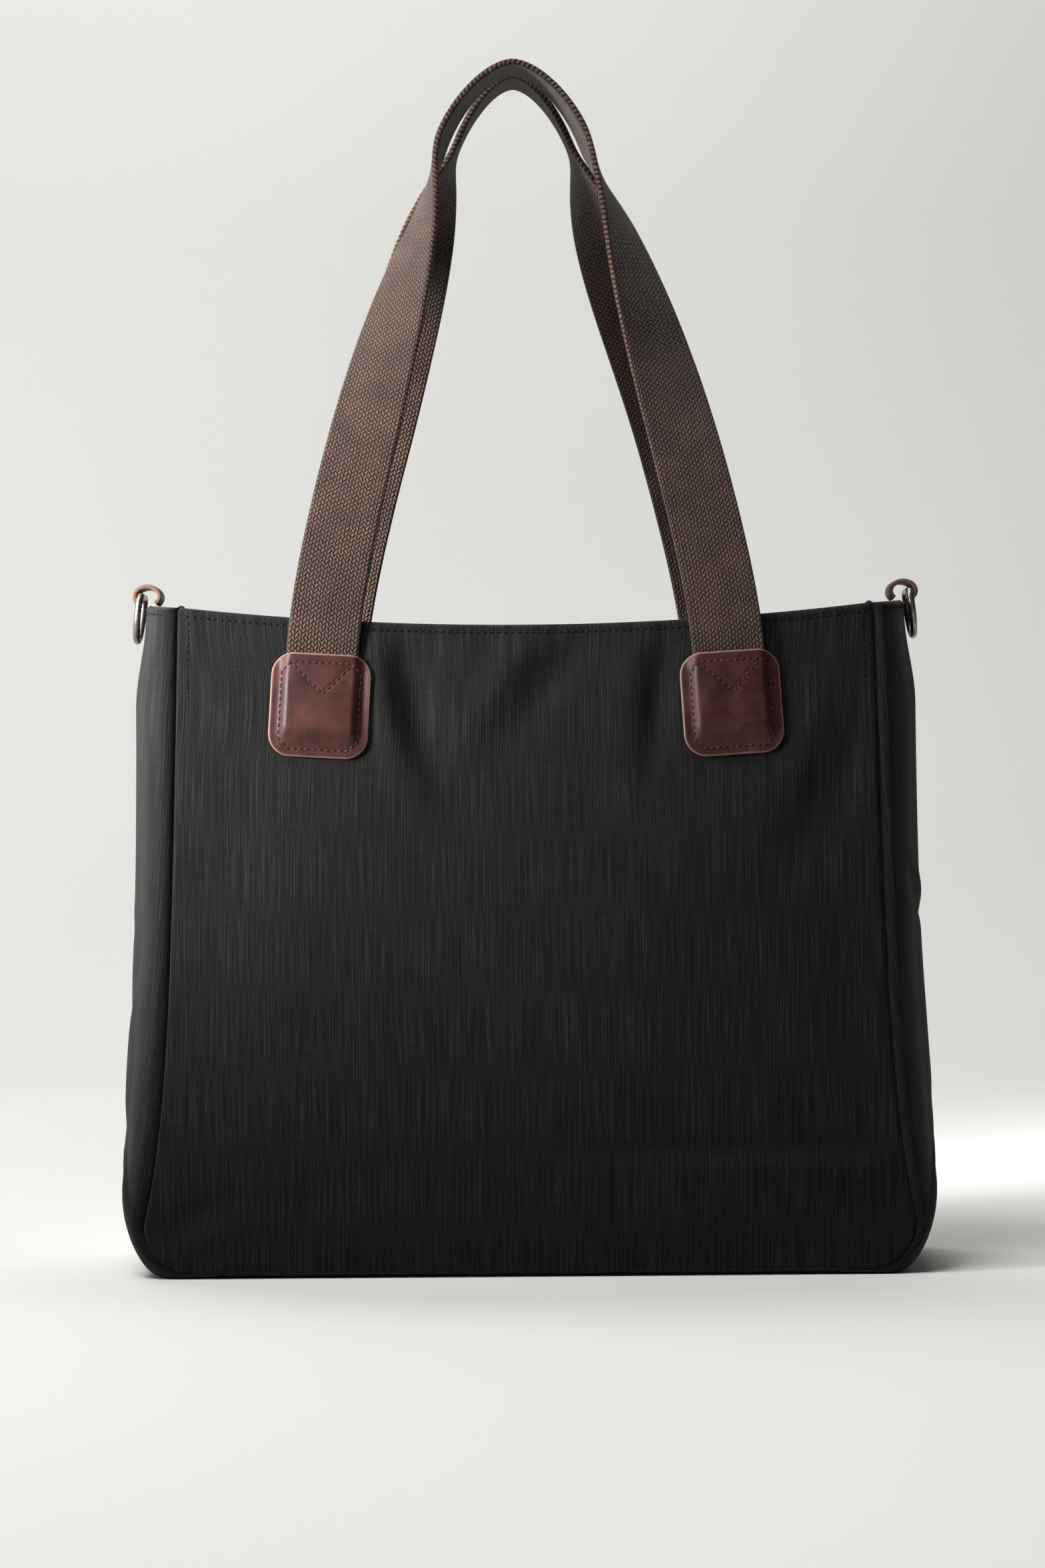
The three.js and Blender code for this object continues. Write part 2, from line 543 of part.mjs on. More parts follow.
// Magnetic snap: a socket on the front facing and a stud on the back one, each clenched to a hidden washer
const snapHeight = RIM_HEIGHT - RIM_SAG - SNAP_DROP;
for (const [name, side] of [["socket", -1], ["stud", 1]]) {
  const seat = innerPlace(side, snapHeight, LINING_LAYER + FACING + FIT);
  const profile = [[0, 0], [SNAP_RADIUS, 0], [SNAP_RADIUS, SNAP_PLATE * 0.5], [SNAP_RADIUS - 1, SNAP_PLATE]];
  const raised = [[SNAP_STUD_RADIUS, SNAP_PLATE], [SNAP_STUD_RADIUS, SNAP_PLATE + SNAP_STUD],
    [0, SNAP_PLATE + SNAP_STUD]];
  const sunk = [[SNAP_STUD_RADIUS + GAP, SNAP_PLATE], [SNAP_STUD_RADIUS + GAP, SNAP_PLATE / 3],
    [0, SNAP_PLATE / 3]];
  const points = [...profile, ...(name === "stud" ? raised : sunk)].map(([r, y]) => new THREE.Vector2(r, y));
  add(seat, `snap_${name}`, new THREE.LatheGeometry(points, 24), GUNMETAL);
  const back = innerPlace(side, snapHeight, CANVAS + FIT + WASHER / 2);
  const washer = new THREE.CylinderGeometry(WASHER_RADIUS, WASHER_RADIUS, WASHER, 20);
  add(back, `snap_${name}_washer`, washer, GUNMETAL);
}

/** A sheet lying on the lining in the middle of a face: its top edge, height, width and layer. */
function innerSheet(side, top, height, width, layer, thickness) {
  const grid = (depth) => steps(top, top - height, 3).map((z) => steps(-width / 2, width / 2, 6).map((x) =>
    new THREE.Vector3(x, side * (faceHalfDepth(x, z) - depth), z)));
  return sheetBetween(grid(layer), grid(layer + thickness));
}

// Zipped pocket on the back lining: tape, coil, slider and pull
const onLining = LINING_LAYER + LINING + FIT;
const zipHeight = RIM_HEIGHT - RIM_SAG - FACING_DEPTH - ZIP_DROP;
const coilLayer = onLining + ZIP_TAPE + GAP;
const coilLength = ZIP_LENGTH - 2 * ZIP_STOP;
add(bag, "zip_tape", innerSheet(
  1, zipHeight + ZIP_TAPE_HEIGHT / 2, ZIP_TAPE_HEIGHT, ZIP_LENGTH, onLining, ZIP_TAPE), ZIP_CLOTH);
add(bag, "zip_coil", innerSheet(
  1, zipHeight + ZIP_COIL_HEIGHT / 2, ZIP_COIL_HEIGHT, coilLength, coilLayer, ZIP_COIL), ZIP_CLOTH);
const zipEnd = coilLength / 2 - SLIDER[0];
const zip = innerPlace(1, zipHeight, coilLayer + ZIP_COIL);
zip.position.y -= faceHalfDepth(0, zipHeight) - faceHalfDepth(coilLength / 2, zipHeight);
const slider = add(zip, "zip_slider", new THREE.BoxGeometry(...SLIDER), GUNMETAL);
slider.position.set(zipEnd, GAP + SLIDER[1] / 2, 0);
const pull = add(zip, "zip_pull", new THREE.BoxGeometry(...PULL), GUNMETAL);
pull.position.set(zipEnd, 2 * GAP + SLIDER[1] + PULL[1] / 2, PULL_HANG - PULL[2] / 2);

// Slip pocket lying flat on the front lining
const pocketTop = RIM_HEIGHT - RIM_SAG - FACING_DEPTH - POCKET_DROP;
const pocket = innerSheet(-1, pocketTop, POCKET_HEIGHT, POCKET_WIDTH, onLining, LINING);
add(bag, "slip_pocket", pocket, LINING_CLOTH);

export default bag;
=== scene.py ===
"""A black canvas tote bag with two brown webbing handles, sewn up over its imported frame.

Sizes are in millimetres and become metres where a mesh is filled. +Z is up, -Y is the front face,
and the left of the bag is -X. The bag's outer surface is one formula, and every cloth, patch and
stitch lies on it at its own depth.
"""
import logging
import math
from dataclasses import dataclass
from enum import Enum
from typing import Callable, Sequence

import bpy
import numpy as np
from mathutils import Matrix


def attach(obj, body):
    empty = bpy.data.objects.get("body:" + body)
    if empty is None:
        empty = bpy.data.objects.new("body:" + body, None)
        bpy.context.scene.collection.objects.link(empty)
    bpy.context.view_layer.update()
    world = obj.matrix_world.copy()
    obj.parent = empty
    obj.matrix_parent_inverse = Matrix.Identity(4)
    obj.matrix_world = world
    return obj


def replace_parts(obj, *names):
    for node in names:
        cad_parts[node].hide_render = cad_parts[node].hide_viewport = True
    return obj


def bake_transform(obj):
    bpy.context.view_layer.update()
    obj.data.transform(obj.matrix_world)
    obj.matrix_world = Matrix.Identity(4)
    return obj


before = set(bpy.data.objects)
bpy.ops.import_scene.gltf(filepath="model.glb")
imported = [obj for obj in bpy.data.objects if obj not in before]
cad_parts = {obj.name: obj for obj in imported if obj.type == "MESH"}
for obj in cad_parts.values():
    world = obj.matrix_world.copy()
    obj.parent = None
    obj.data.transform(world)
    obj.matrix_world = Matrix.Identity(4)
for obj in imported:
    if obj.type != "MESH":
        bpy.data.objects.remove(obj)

Array = np.ndarray
Painted = dict[str, bpy.types.NodeSocket]
Where = Callable[[Array, Array, Array], Array]
MM = 0.001
STRAP_X = 109.0
STRAP_Z = 302.2
STRAP_TILT = 3.5
ZIP_Z = 279.5
LOG = logging.getLogger("tote")


class Side(Enum):
    """A side of the bag, by the sign of its axis."""

    @property
    def word(self) -> str:
        """The side's name as it stands in a piece's name."""
        return self.name.lower()


class Face(Side):
    """The front and back of the bag, by the sign of Y."""

    FRONT = -1
    BACK = 1


class Hand(Side):
    """The left and right of the bag, by the sign of X."""

    LEFT = -1
    RIGHT = 1


# ---- Numbers and meshes --------------------------------------------------------------------------


def smooth(t: Array) -> Array:
    """Returns 3t^2 - 2t^3 with t held between 0 and 1."""
    t = np.clip(t, 0.0, 1.0)
    return t * t * (3.0 - 2.0 * t)


def lerp(a: Array, b: Array, t: Array) -> Array:
    """Returns a + (b - a) t."""
    return a + (b - a) * t


def unit(v: Array) -> Array:
    """Returns vectors scaled to length 1 along the last axis."""
    return v / np.maximum(np.linalg.norm(v, axis=-1, keepdims=True), 1e-12)


def run_lengths(points: Array) -> Array:
    """Returns the length walked along points (n, 3) up to each of them."""
    steps = np.linalg.norm(np.diff(points, axis=0), axis=1)
    return np.concatenate([[0.0], np.cumsum(steps)])


def grid_quads(rows: int, cols: int, first: int = 0, closed: bool = False) -> Array:
    """Returns the quads of a grid of points laid out row by row.

    Args:
        rows: Number of rows.
        cols: Number of points in a row.
        first: Index of the grid's first point.
        closed: Whether each row runs back to its first point.

    Returns:
        An (n, 4) array of point indices.
    """
    r, c = np.meshgrid(np.arange(rows - 1), np.arange(cols if closed else cols - 1), indexing="ij")
    right = (c + 1) % cols
    quads = np.stack([r * cols + c, r * cols + right, (r + 1) * cols + right, (r + 1) * cols + c], -1)
    return quads.reshape(-1, 4) + first


def new_object(name: str, points: Array, faces: Array | list, uv: Array | None = None) -> bpy.types.Object:
    """Makes a smooth-shaded mesh object at the origin from points in millimetres.

    Args:
        name: The piece's name.
        points: An (n, 3) array.
        faces: Quads as an (m, 4) array, or a list of corner lists.
        uv: One pair for each point, in millimetres of cloth.

    Returns:
        The new object, linked to the scene.
    """
    mesh = bpy.data.meshes.new(name)
    mesh.from_pydata((points * MM).tolist(), [], faces.tolist() if isinstance(faces, np.ndarray) else faces)
    if uv is not None:
        corner = np.empty(len(mesh.loops), np.int32)
        mesh.loops.foreach_get("vertex_index", corner)
        mesh.uv_layers.new(name="cloth").data.foreach_set("uv", uv[corner].astype(np.float32).ravel())
    mesh.polygons.foreach_set("use_smooth", np.ones(len(mesh.polygons), bool))
    mesh.update()
    piece = bpy.data.objects.new(name, mesh)
    bpy.context.scene.collection.objects.link(piece)
    return piece


def grid_normals(grid: Array) -> Array:
    """Returns the unit normal at each point of a grid (rows, cols, 3): along the row crossed with down it."""
    across = np.gradient(grid, axis=1)
    down = np.gradient(grid, axis=0)
    return unit(np.cross(down, across))


def cloth_map(grid: Array) -> Array:
    """Lays a grid (rows, cols, 3) flat by its own lengths: across from its middle column, and down it."""
    steps = np.linalg.norm(np.diff(grid, axis=1), axis=2)
    across = np.concatenate([np.zeros((len(grid), 1)), np.cumsum(steps, axis=1)], axis=1)
    middle = grid.shape[1] // 2
    down = -run_lengths(grid[:, middle])
    return np.stack(np.broadcast_arrays(across - across[:, middle:middle + 1], down[:, None]), -1)


def turned_out(points: Array, quads: Array) -> Array:
    """Returns the quads, reversed if the closed mesh that they make has a negative volume."""
    a, b, c, d = (points[quads[:, k]] for k in range(4))
    volume = np.einsum("ij,ij->", a, np.cross(b, c)) + np.einsum("ij,ij->", a, np.cross(c, d))
    return quads[:, ::-1] if volume < 0 else quads


def closed_between(name: str, outer: Array, inner: Array, uv: Array | None = None) -> bpy.types.Object:
    """Makes a closed mesh from two grids of one size and a wall round their rims.

    Args:
        name: The piece's name.
        outer: A (rows, cols, 3) grid.
        inner: The grid on the mesh's other side.
        uv: A (rows, cols, 2) grid of places on the flat cloth, for both grids.

    Returns:
        The new object.
    """
    rows, cols = outer.shape[:2]
    count = rows * cols
    points = np.concatenate([outer.reshape(-1, 3), inner.reshape(-1, 3)])
    top = grid_quads(rows, cols)
    index = np.arange(count).reshape(rows, cols)
    rim = np.concatenate([index[0, :-1], index[:-1, -1], index[-1, :0:-1], index[:0:-1, 0]])
    ahead = np.roll(rim, -1)
    wall = np.stack([ahead, rim, rim + count, ahead + count], -1)
    quads = turned_out(points, np.concatenate([top, top[:, ::-1] + count, wall]))
    flat = None if uv is None else np.concatenate([uv.reshape(-1, 2)] * 2)
    return new_object(name, points, quads, flat)


def closed_sheet(name: str, outer: Array, thickness: float, towards: Array,
                 uv: Array | None = None) -> bpy.types.Object:
    """Makes a closed sheet from a grid of one surface and the same grid moved along its normals.

    Args:
        name: The piece's name.
        outer: A (rows, cols, 3) grid.
        thickness: How thick the sheet is.
        towards: A vector roughly the way that the thickness goes; the grid's normal gives the line.
        uv: A (rows, cols, 2) grid of places on the flat cloth.

    Returns:
        The new object.
    """
    normals = grid_normals(outer)
    middle = normals[outer.shape[0] // 2, outer.shape[1] // 2]
    way = 1.0 if middle @ towards > 0 else -1.0
    return closed_between(name, outer, outer + normals * way * thickness, uv)


def swept(name: str, path: Array, across: Array, out: Array, profile: Array, closed: bool = False,
          uv: bool = False) -> bpy.types.Object:
    """Carries a closed profile along a path: point = path + across * p0 + out * p1.

    Args:
        name: The piece's name.
        path: An (n, 3) array of places.
        across: The (n, 3) unit vectors of the profile's first axis.
        out: The (n, 3) unit vectors of its second axis.
        profile: A (k, 2) outline, or an (n, k, 2) one that changes along the path.
        closed: Whether the path runs back to its start; otherwise both ends are capped.
        uv: Whether to lay the cloth out by the outline's length and the path's length.

    Returns:
        The new object.
    """
    shape = np.broadcast_to(profile, (len(path), *profile.shape[-2:]))
    points = (path[:, None] + across[:, None] * shape[..., :1] + out[:, None] * shape[..., 1:])
    sides = shape.shape[1]
    count = len(path)
    flat_points = points.reshape(-1, 3)
    quads = grid_quads(count, sides, closed=True)
    if closed:
        last = (count - 1) * sides + np.arange(sides)
        first = np.arange(sides)
        quads = np.concatenate([quads, np.stack([last, np.roll(last, -1), np.roll(first, -1), first], -1)])
    quads = turned_out(flat_points, quads)
    faces = quads.tolist()
    if not closed:
        start = list(range(sides))
        end = [(count - 1) * sides + k for k in range(sides)]
        forward = bool(((quads[0] == 0) & (np.roll(quads[0], -1) == 1)).any())
        faces += [start[::-1], end] if forward else [start, end[::-1]]
    flat = None
    if uv:
        round_it = run_lengths(np.pad(shape[0], ((0, 0), (0, 1))))
        flat = np.stack(np.meshgrid(run_lengths(path), round_it, indexing="ij")[::-1], -1).reshape(-1, 2)
    return new_object(name, flat_points, faces, flat)


def round_profile(radius: float, sides: int) -> Array:
    """Returns a circle of a radius as a (sides, 2) outline."""
    turn = np.linspace(0.0, 2.0 * np.pi, sides, endpoint=False)
    return radius * np.stack([np.cos(turn), np.sin(turn)], -1)


def strip_profile(width: float, thickness: float, columns: int, corner: float, turns: int = 4) -> Array:
    """Returns the outline of a strip with rounded edges: two flat sides joined by quarter circles."""
    half, rise = width / 2.0, thickness / 2.0
    flat = np.linspace(-half + corner, half - corner, columns)
    turn = np.linspace(0.0, np.pi / 2.0, turns + 1)[1:-1]
    edge = [(half - corner + corner * np.sin(t), rise - corner + corner * np.cos(t)) for t in turn]
    edge += [(half, rise - corner)]
    right = np.array(edge + [(x, -y) for x, y in edge[::-1]])
    left = -right
    top = np.stack([flat, np.full(columns, rise)], -1)
    return np.concatenate([top, right, -top, left])


def joined(name: str, pieces: Sequence[bpy.types.Object]) -> bpy.types.Object:
    """Joins several mesh objects into one, under a new name."""
    for other in bpy.context.selected_objects:
        other.select_set(False)
    for piece in pieces:
        piece.select_set(True)
    bpy.context.view_layer.objects.active = pieces[0]
    if len(pieces) > 1:
        bpy.ops.object.join()
    pieces[0].name = name
    pieces[0].data.name = name
    return pieces[0]


def stitch_row(name: str, path: Array, normals: Array, pitch: float, length: float, thread: float,
               sink: float = 0.15, across: bool = False, stagger: float = 0.0) -> bpy.types.Object:
    """Sews thread along a path: each stitch is a small arched capsule with its two ends in the cloth.

    A stitch's middle line is a cosine arch, and its section shrinks towards the ends by the square
    root of 1 - t^4, t running from -1 to 1 along it.

    Args:
        name: The piece's name.
        path: An (n, 3) line on the cloth.
        normals: The (n, 3) outward normals there.
        pitch: Distance between the starts of two stitches.
        length: Length of one stitch.
        thread: Thickness of the thread.
        sink: How far the thread's ends go into the cloth.
        across: Whether each stitch lies across the path rather than along it.
        stagger: How far every other stitch is moved sideways.

    Returns:
        One object with every stitch of the row.
    """
    run = run_lengths(path)
    count = max(2, int(round(run[-1] / pitch)))
    gap = run[-1] / count
    at = (np.arange(count) + 0.5) * gap

    def along(where: Array, values: Array) -> Array:
        return np.stack([np.interp(where, run, values[:, k]) for k in range(3)], -1)

    middle = along(at, path)
    ahead = unit(along(np.minimum(at + 0.5, run[-1]), path) - along(np.maximum(at - 0.5, 0.0), path))
    up = unit(along(at, normals))
    side = unit(np.cross(up, ahead))
    up = np.cross(ahead, side)
    t = np.array([-1.0, -0.6, 0.0, 0.6, 1.0])
    sides = 6
    turn = np.linspace(0.0, 2.0 * np.pi, sides, endpoint=False)
    swell = 0.5 * thread * np.sqrt(np.maximum(1.0 - 0.8 * t**4, 0.0))
    arch = (0.35 * thread + sink) * np.cos(0.5 * np.pi * t) - sink
    local = np.stack([
        np.repeat(0.5 * length * t, sides),
        (swell[:, None] * np.cos(turn)).ravel(),
        (swell[:, None] * np.sin(turn) + arch[:, None]).ravel()], -1)
    middle = middle + side * stagger * (np.arange(count) % 2 - 0.5)[:, None]
    basis = np.stack([side, -ahead, up] if across else [ahead, side, up], 1)
    points = middle[:, None] + np.einsum("pk,nkc->npc", local, basis)
    base = np.arange(count)[:, None, None] * len(local)
    quads = (grid_quads(len(t), sides, closed=True) + base).reshape(-1, 4)
    start = np.arange(sides)
    caps = (np.stack([start[::-1], start + len(local) - sides]) + base).reshape(-1, sides)
    faces = quads.tolist() + caps.tolist()
    return new_object(name, points.reshape(-1, 3), faces)


# ---- Finishes ------------------------------------------------------------------------------------


def linear(hex_colour: str, share: float = 1.0) -> tuple[float, float, float, float]:
    """Turns an sRGB hex colour into linear RGBA, each channel times a share."""
    parts = [int(hex_colour[k:k + 2], 16) / 255.0 for k in (1, 3, 5)]
    lin = [c / 12.92 if c <= 0.04045 else ((c + 0.055) / 1.055) ** 2.4 for c in parts]
    return (lin[0] * share, lin[1] * share, lin[2] * share, 1.0)


def add(tree: bpy.types.NodeTree, kind: str, sockets: dict | None = None,
        stops: Sequence[tuple[float, str]] = (), **settings: object) -> bpy.types.Node:
    """Adds a node to a tree.

    Args:
        tree: The material's node tree.
        kind: The node's class name.
        sockets: Input name or index to a value, or to another node's output socket.
        stops: Places and sRGB hex colours along a colour ramp.
        **settings: The node's own settings.

    Returns:
        The new node.
    """
    made = tree.nodes.new(kind)
    for key, value in settings.items():
        setattr(made, key, value)
    for key, value in (sockets or {}).items():
        if isinstance(value, bpy.types.NodeSocket):
            tree.links.new(value, made.inputs[key])
        else:
            made.inputs[key].default_value = value
    for number, (place, colour) in enumerate(stops):
        ramp = made.color_ramp.elements
        stop = ramp[number] if number < len(ramp) else ramp.new(place)
        stop.position, stop.color = place, linear(colour)
    return made


class Finish:
    """One finish: a material made once and shared by the pieces that wear it.

    Attributes:
        title: Material name.
        slot: Material slot.
        surface: The shader's plain values, by input.
    """

    title = "finish"
    slot = "canvas"
    surface: dict[str, float] = {}

    def __init__(self) -> None:
        """Starts without a material."""
        self.made: bpy.types.Material | None = None

    def material(self) -> bpy.types.Material:
        """Returns the finish's material, made on the first call."""
        if self.made is None:
            self.made = bpy.data.materials.new(self.title)
            self.made.use_nodes = True
            tree = self.made.node_tree
            tree.nodes.clear()
            shader = add(tree, "ShaderNodeBsdfPrincipled", {**self.surface, **self.paint(tree)})
            add(tree, "ShaderNodeOutputMaterial", {"Surface": shader.outputs[0]})
        return self.made

    def paint(self, tree: bpy.types.NodeTree) -> Painted:
        """Fills the node tree, each finish with its own, and returns what goes into the shader."""
        raise NotImplementedError

    def wear(self, piece: bpy.types.Object) -> bpy.types.Object:
        """Puts the finish on a piece."""
        piece.data.materials.clear()
        piece.data.materials.append(self.material())
        return piece


class WovenCloth(Finish):
    """Plain-woven cotton, laid out by the cloth map in millimetres.

    Warp and weft are two band patterns at the thread's pitch. Each warp thread, slub and weft thread
    has its own slow change of tone, as noise drawn out along it, and the yarn has a fine grain.

    Attributes:
        shares: Shares in the tone of the warp's, the slubs', the weft's and the grain's noise, of the
            threads and of the slubs' bands.
        wave_scale: A band pattern's scale for bands 1 mm apart.
    """

    shares = (0.66, 0.14, 0.12, 0.42, 0.06, 0.05)
    wave_scale = 0.31416

    def __init__(self, title: str, slot: str, dark: str, mid: str, light: str, pitch: float = 0.85,
                 slub: float = 1.7, relief: float = 0.1, sheen: float = 0.06, mapped: bool = True) -> None:
        """Keeps the cloth's colours and thread sizes.

        Args:
            title: Material name.
            slot: Material slot; not used.
            dark: Colour between threads.
            mid: Colour of most threads.
            light: Colour of a slub.
            pitch: Thread spacing.
            slub: Width of a slub.
            relief: Height of the weave.
            sheen: Weight of the fuzz on the yarn.
            mapped: Whether to read the cloth map rather than object coordinates.
        """
        super().__init__()
        self.title, self.slot = title, slot
        self.colours = (dark, mid, light)
        self.pitch, self.slub, self.relief, self.mapped = pitch, slub, relief, mapped
        self.surface = {"Roughness": 0.9, "Specular IOR Level": 0.08, "Sheen Weight": sheen,
                        "Sheen Roughness": 0.5}

    def paint(self, tree: bpy.types.NodeTree) -> Painted:
        """Lays warp, weft, slubs and grain: tone = 1/2 + sum of share * (value - 1/2)."""
        place = add(tree, "ShaderNodeTexCoord")
        if self.mapped:
            cloth = place.outputs["UV"]
        else:
            cloth = add(tree, "ShaderNodeVectorMath", {0: place.outputs["Object"], "Scale": 1000.0},
                        operation="SCALE").outputs[0]
        band = self.wave_scale / self.pitch
        bands = [add(tree, "ShaderNodeTexWave", {"Vector": cloth, "Scale": band * share, "Distortion": bend,
                     "Detail": 2.0, "Detail Scale": 0.5}, wave_type="BANDS", bands_direction=way)
                 for share, bend, way in ((1.0, 1.4, "X"), (0.92, 1.4, "Y"), (0.55, 3.0, "X"))]
        threads = add(tree, "ShaderNodeMath", {0: bands[0].outputs["Fac"], 1: bands[1].outputs["Fac"]},
                      operation="MAXIMUM").outputs[0]
        drawn_out = []
        stretches = ((1.3 / self.pitch, 0.024), (1.3 / self.slub, 0.02), (0.03, 1.3 / self.pitch),
                     (1.5, 1.2))
        for stretch in stretches:
            run = add(tree, "ShaderNodeMapping", {"Vector": cloth, "Scale": (*stretch, 1.0),
                      "Location": (37.0 * stretch[0], 11.0, 0.0)})
            drawn_out.append(add(tree, "ShaderNodeTexNoise", {"Vector": run.outputs[0], "Scale": 1.0,
                             "Detail": 1.0, "Roughness": 0.5}, noise_dimensions="2D").outputs["Fac"])
        slubs = bands[2].outputs["Fac"]
        tone: float | bpy.types.NodeSocket = 0.5 - 0.5 * sum(self.shares)
        for share, source in zip(self.shares, (*drawn_out, threads, slubs)):
            tone = add(tree, "ShaderNodeMath", {0: source, 1: share, 2: tone},
                       operation="MULTIPLY_ADD").outputs[0]
        dark, mid, light = self.colours
        colour = add(tree, "ShaderNodeValToRGB", {"Fac": tone}, [(0.1, dark), (0.5, mid), (0.9, light)])
        height = add(tree, "ShaderNodeMath", {0: threads, 1: 0.5, 2: slubs}, operation="MULTIPLY_ADD")
        bump = add(tree, "ShaderNodeBump", {"Height": height.outputs[0], "Strength": 1.0,
                   "Distance": self.relief * MM})
        return {"Base Color": colour.outputs["Color"], "Normal": bump.outputs[0]}


class CottonWebbing(Finish):
    """Heavy cotton webbing: rows of fat yarn grains that lean left and right in turn.

    The cloth map's x runs round the strap and its y along it. Each column of grains is one yarn
    wide, and every other column is shifted by half a grain and leans the other way.
    """

    title = "brown_cotton_webbing"
    slot = "webbing"
    surface = {"Roughness": 0.85, "Specular IOR Level": 0.3, "Sheen Weight": 0.2, "Sheen Roughness": 0.4}

    def __init__(self, column: float = 1.75, grain: float = 2.7) -> None:
        """Keeps the width of a yarn column and the length of a grain."""
        super().__init__()
        self.column, self.grain = column, grain

    def paint(self, tree: bpy.types.NodeTree) -> Painted:
        """Draws the grains as rounded bumps, with painted shade between them and painted light on their tops.
        """
        place = add(tree, "ShaderNodeTexCoord")
        wobble = add(tree, "ShaderNodeTexNoise", {"Vector": place.outputs["UV"], "Scale": 0.22,
                     "Detail": 1.0}, noise_dimensions="2D")
        shifted = add(tree, "ShaderNodeVectorMath", {0: wobble.outputs["Color"], 1: (0.9, 0.9, 0.0),
                      2: place.outputs["UV"]}, operation="MULTIPLY_ADD")
        parts = add(tree, "ShaderNodeSeparateXYZ", {0: shifted.outputs[0]})
        column = add(tree, "ShaderNodeMath", {0: parts.outputs[0], 1: self.column}, operation="DIVIDE")
        inside = add(tree, "ShaderNodeMath", {0: column.outputs[0]}, operation="FRACT")
        whole = add(tree, "ShaderNodeMath", {0: column.outputs[0]}, operation="FLOOR")
        odd = add(tree, "ShaderNodeMath", {0: whole.outputs[0], 1: 2.0}, operation="FLOORED_MODULO")
        side = add(tree, "ShaderNodeMath", {0: odd.outputs[0], 1: 2.0, 2: -1.0}, operation="MULTIPLY_ADD")
        centred = add(tree, "ShaderNodeMath", {0: inside.outputs[0], 1: 0.5}, operation="SUBTRACT")
        lean = add(tree, "ShaderNodeMath", {0: centred.outputs[0], 1: side.outputs[0]}, operation="MULTIPLY")
        row = add(tree, "ShaderNodeMath", {0: parts.outputs[1], 1: self.grain}, operation="DIVIDE")
        half = add(tree, "ShaderNodeMath", {0: odd.outputs[0], 1: 0.5, 2: row.outputs[0]},
                   operation="MULTIPLY_ADD")
        leaning = add(tree, "ShaderNodeMath", {0: lean.outputs[0], 1: 0.55, 2: half.outputs[0]},
                      operation="MULTIPLY_ADD")
        waves = add(tree, "ShaderNodeMath", {0: leaning.outputs[0], 1: 2.0 * math.pi}, operation="MULTIPLY")
        cosine = add(tree, "ShaderNodeMath", {0: waves.outputs[0]}, operation="COSINE")
        along = add(tree, "ShaderNodeMath", {0: cosine.outputs[0], 1: 0.5, 2: 0.5}, operation="MULTIPLY_ADD")
        edge = add(tree, "ShaderNodeMath", {0: centred.outputs[0], 1: centred.outputs[0]},
                   operation="MULTIPLY")
        across = add(tree, "ShaderNodeMath", {0: edge.outputs[0], 1: -3.2, 2: 1.0}, operation="MULTIPLY_ADD",
                     use_clamp=True)
        rooted = add(tree, "ShaderNodeMath", {0: along.outputs[0], 1: 0.6}, operation="POWER")
        grain = add(tree, "ShaderNodeMath", {0: rooted.outputs[0], 1: across.outputs[0]},
                    operation="MULTIPLY")
        fibre = add(tree, "ShaderNodeTexNoise", {"Vector": place.outputs["UV"], "Scale": 1.1, "Detail": 2.0,
                    "Roughness": 0.7}, noise_dimensions="2D")
        patchy = add(tree, "ShaderNodeTexNoise", {"Vector": place.outputs["UV"], "Scale": 0.05,
                     "Detail": 2.0}, noise_dimensions="2D")
        fuzzy = add(tree, "ShaderNodeMath", {0: fibre.outputs["Fac"], 1: 0.5, 2: -0.25},
                    operation="MULTIPLY_ADD")
        uneven = add(tree, "ShaderNodeMath", {0: patchy.outputs["Fac"], 1: 0.3, 2: fuzzy.outputs[0]},
                     operation="MULTIPLY_ADD")
        # The tone follows the grains' height: painted shade in the gaps between grains and at the columns'
        # edges, and painted light on the grains' tops, over the fibres' and patches' own uneven tone.
        tone = add(tree, "ShaderNodeMath", {0: grain.outputs[0], 1: 0.62, 2: uneven.outputs[0]},
                   operation="MULTIPLY_ADD")
        colour = add(tree, "ShaderNodeValToRGB", {"Fac": tone.outputs[0]},
                     [(0.1, "#0b0605"), (0.42, "#2b1b15"), (0.95, "#6d5142")])
        fuzz = add(tree, "ShaderNodeMath", {0: fibre.outputs["Fac"], 1: 0.25, 2: grain.outputs[0]},
                   operation="MULTIPLY_ADD")
        bump = add(tree, "ShaderNodeBump", {"Height": fuzz.outputs[0], "Strength": 1.0, "Distance": 0.7 * MM})
        return {"Base Color": colour.outputs["Color"], "Normal": bump.outputs[0]}


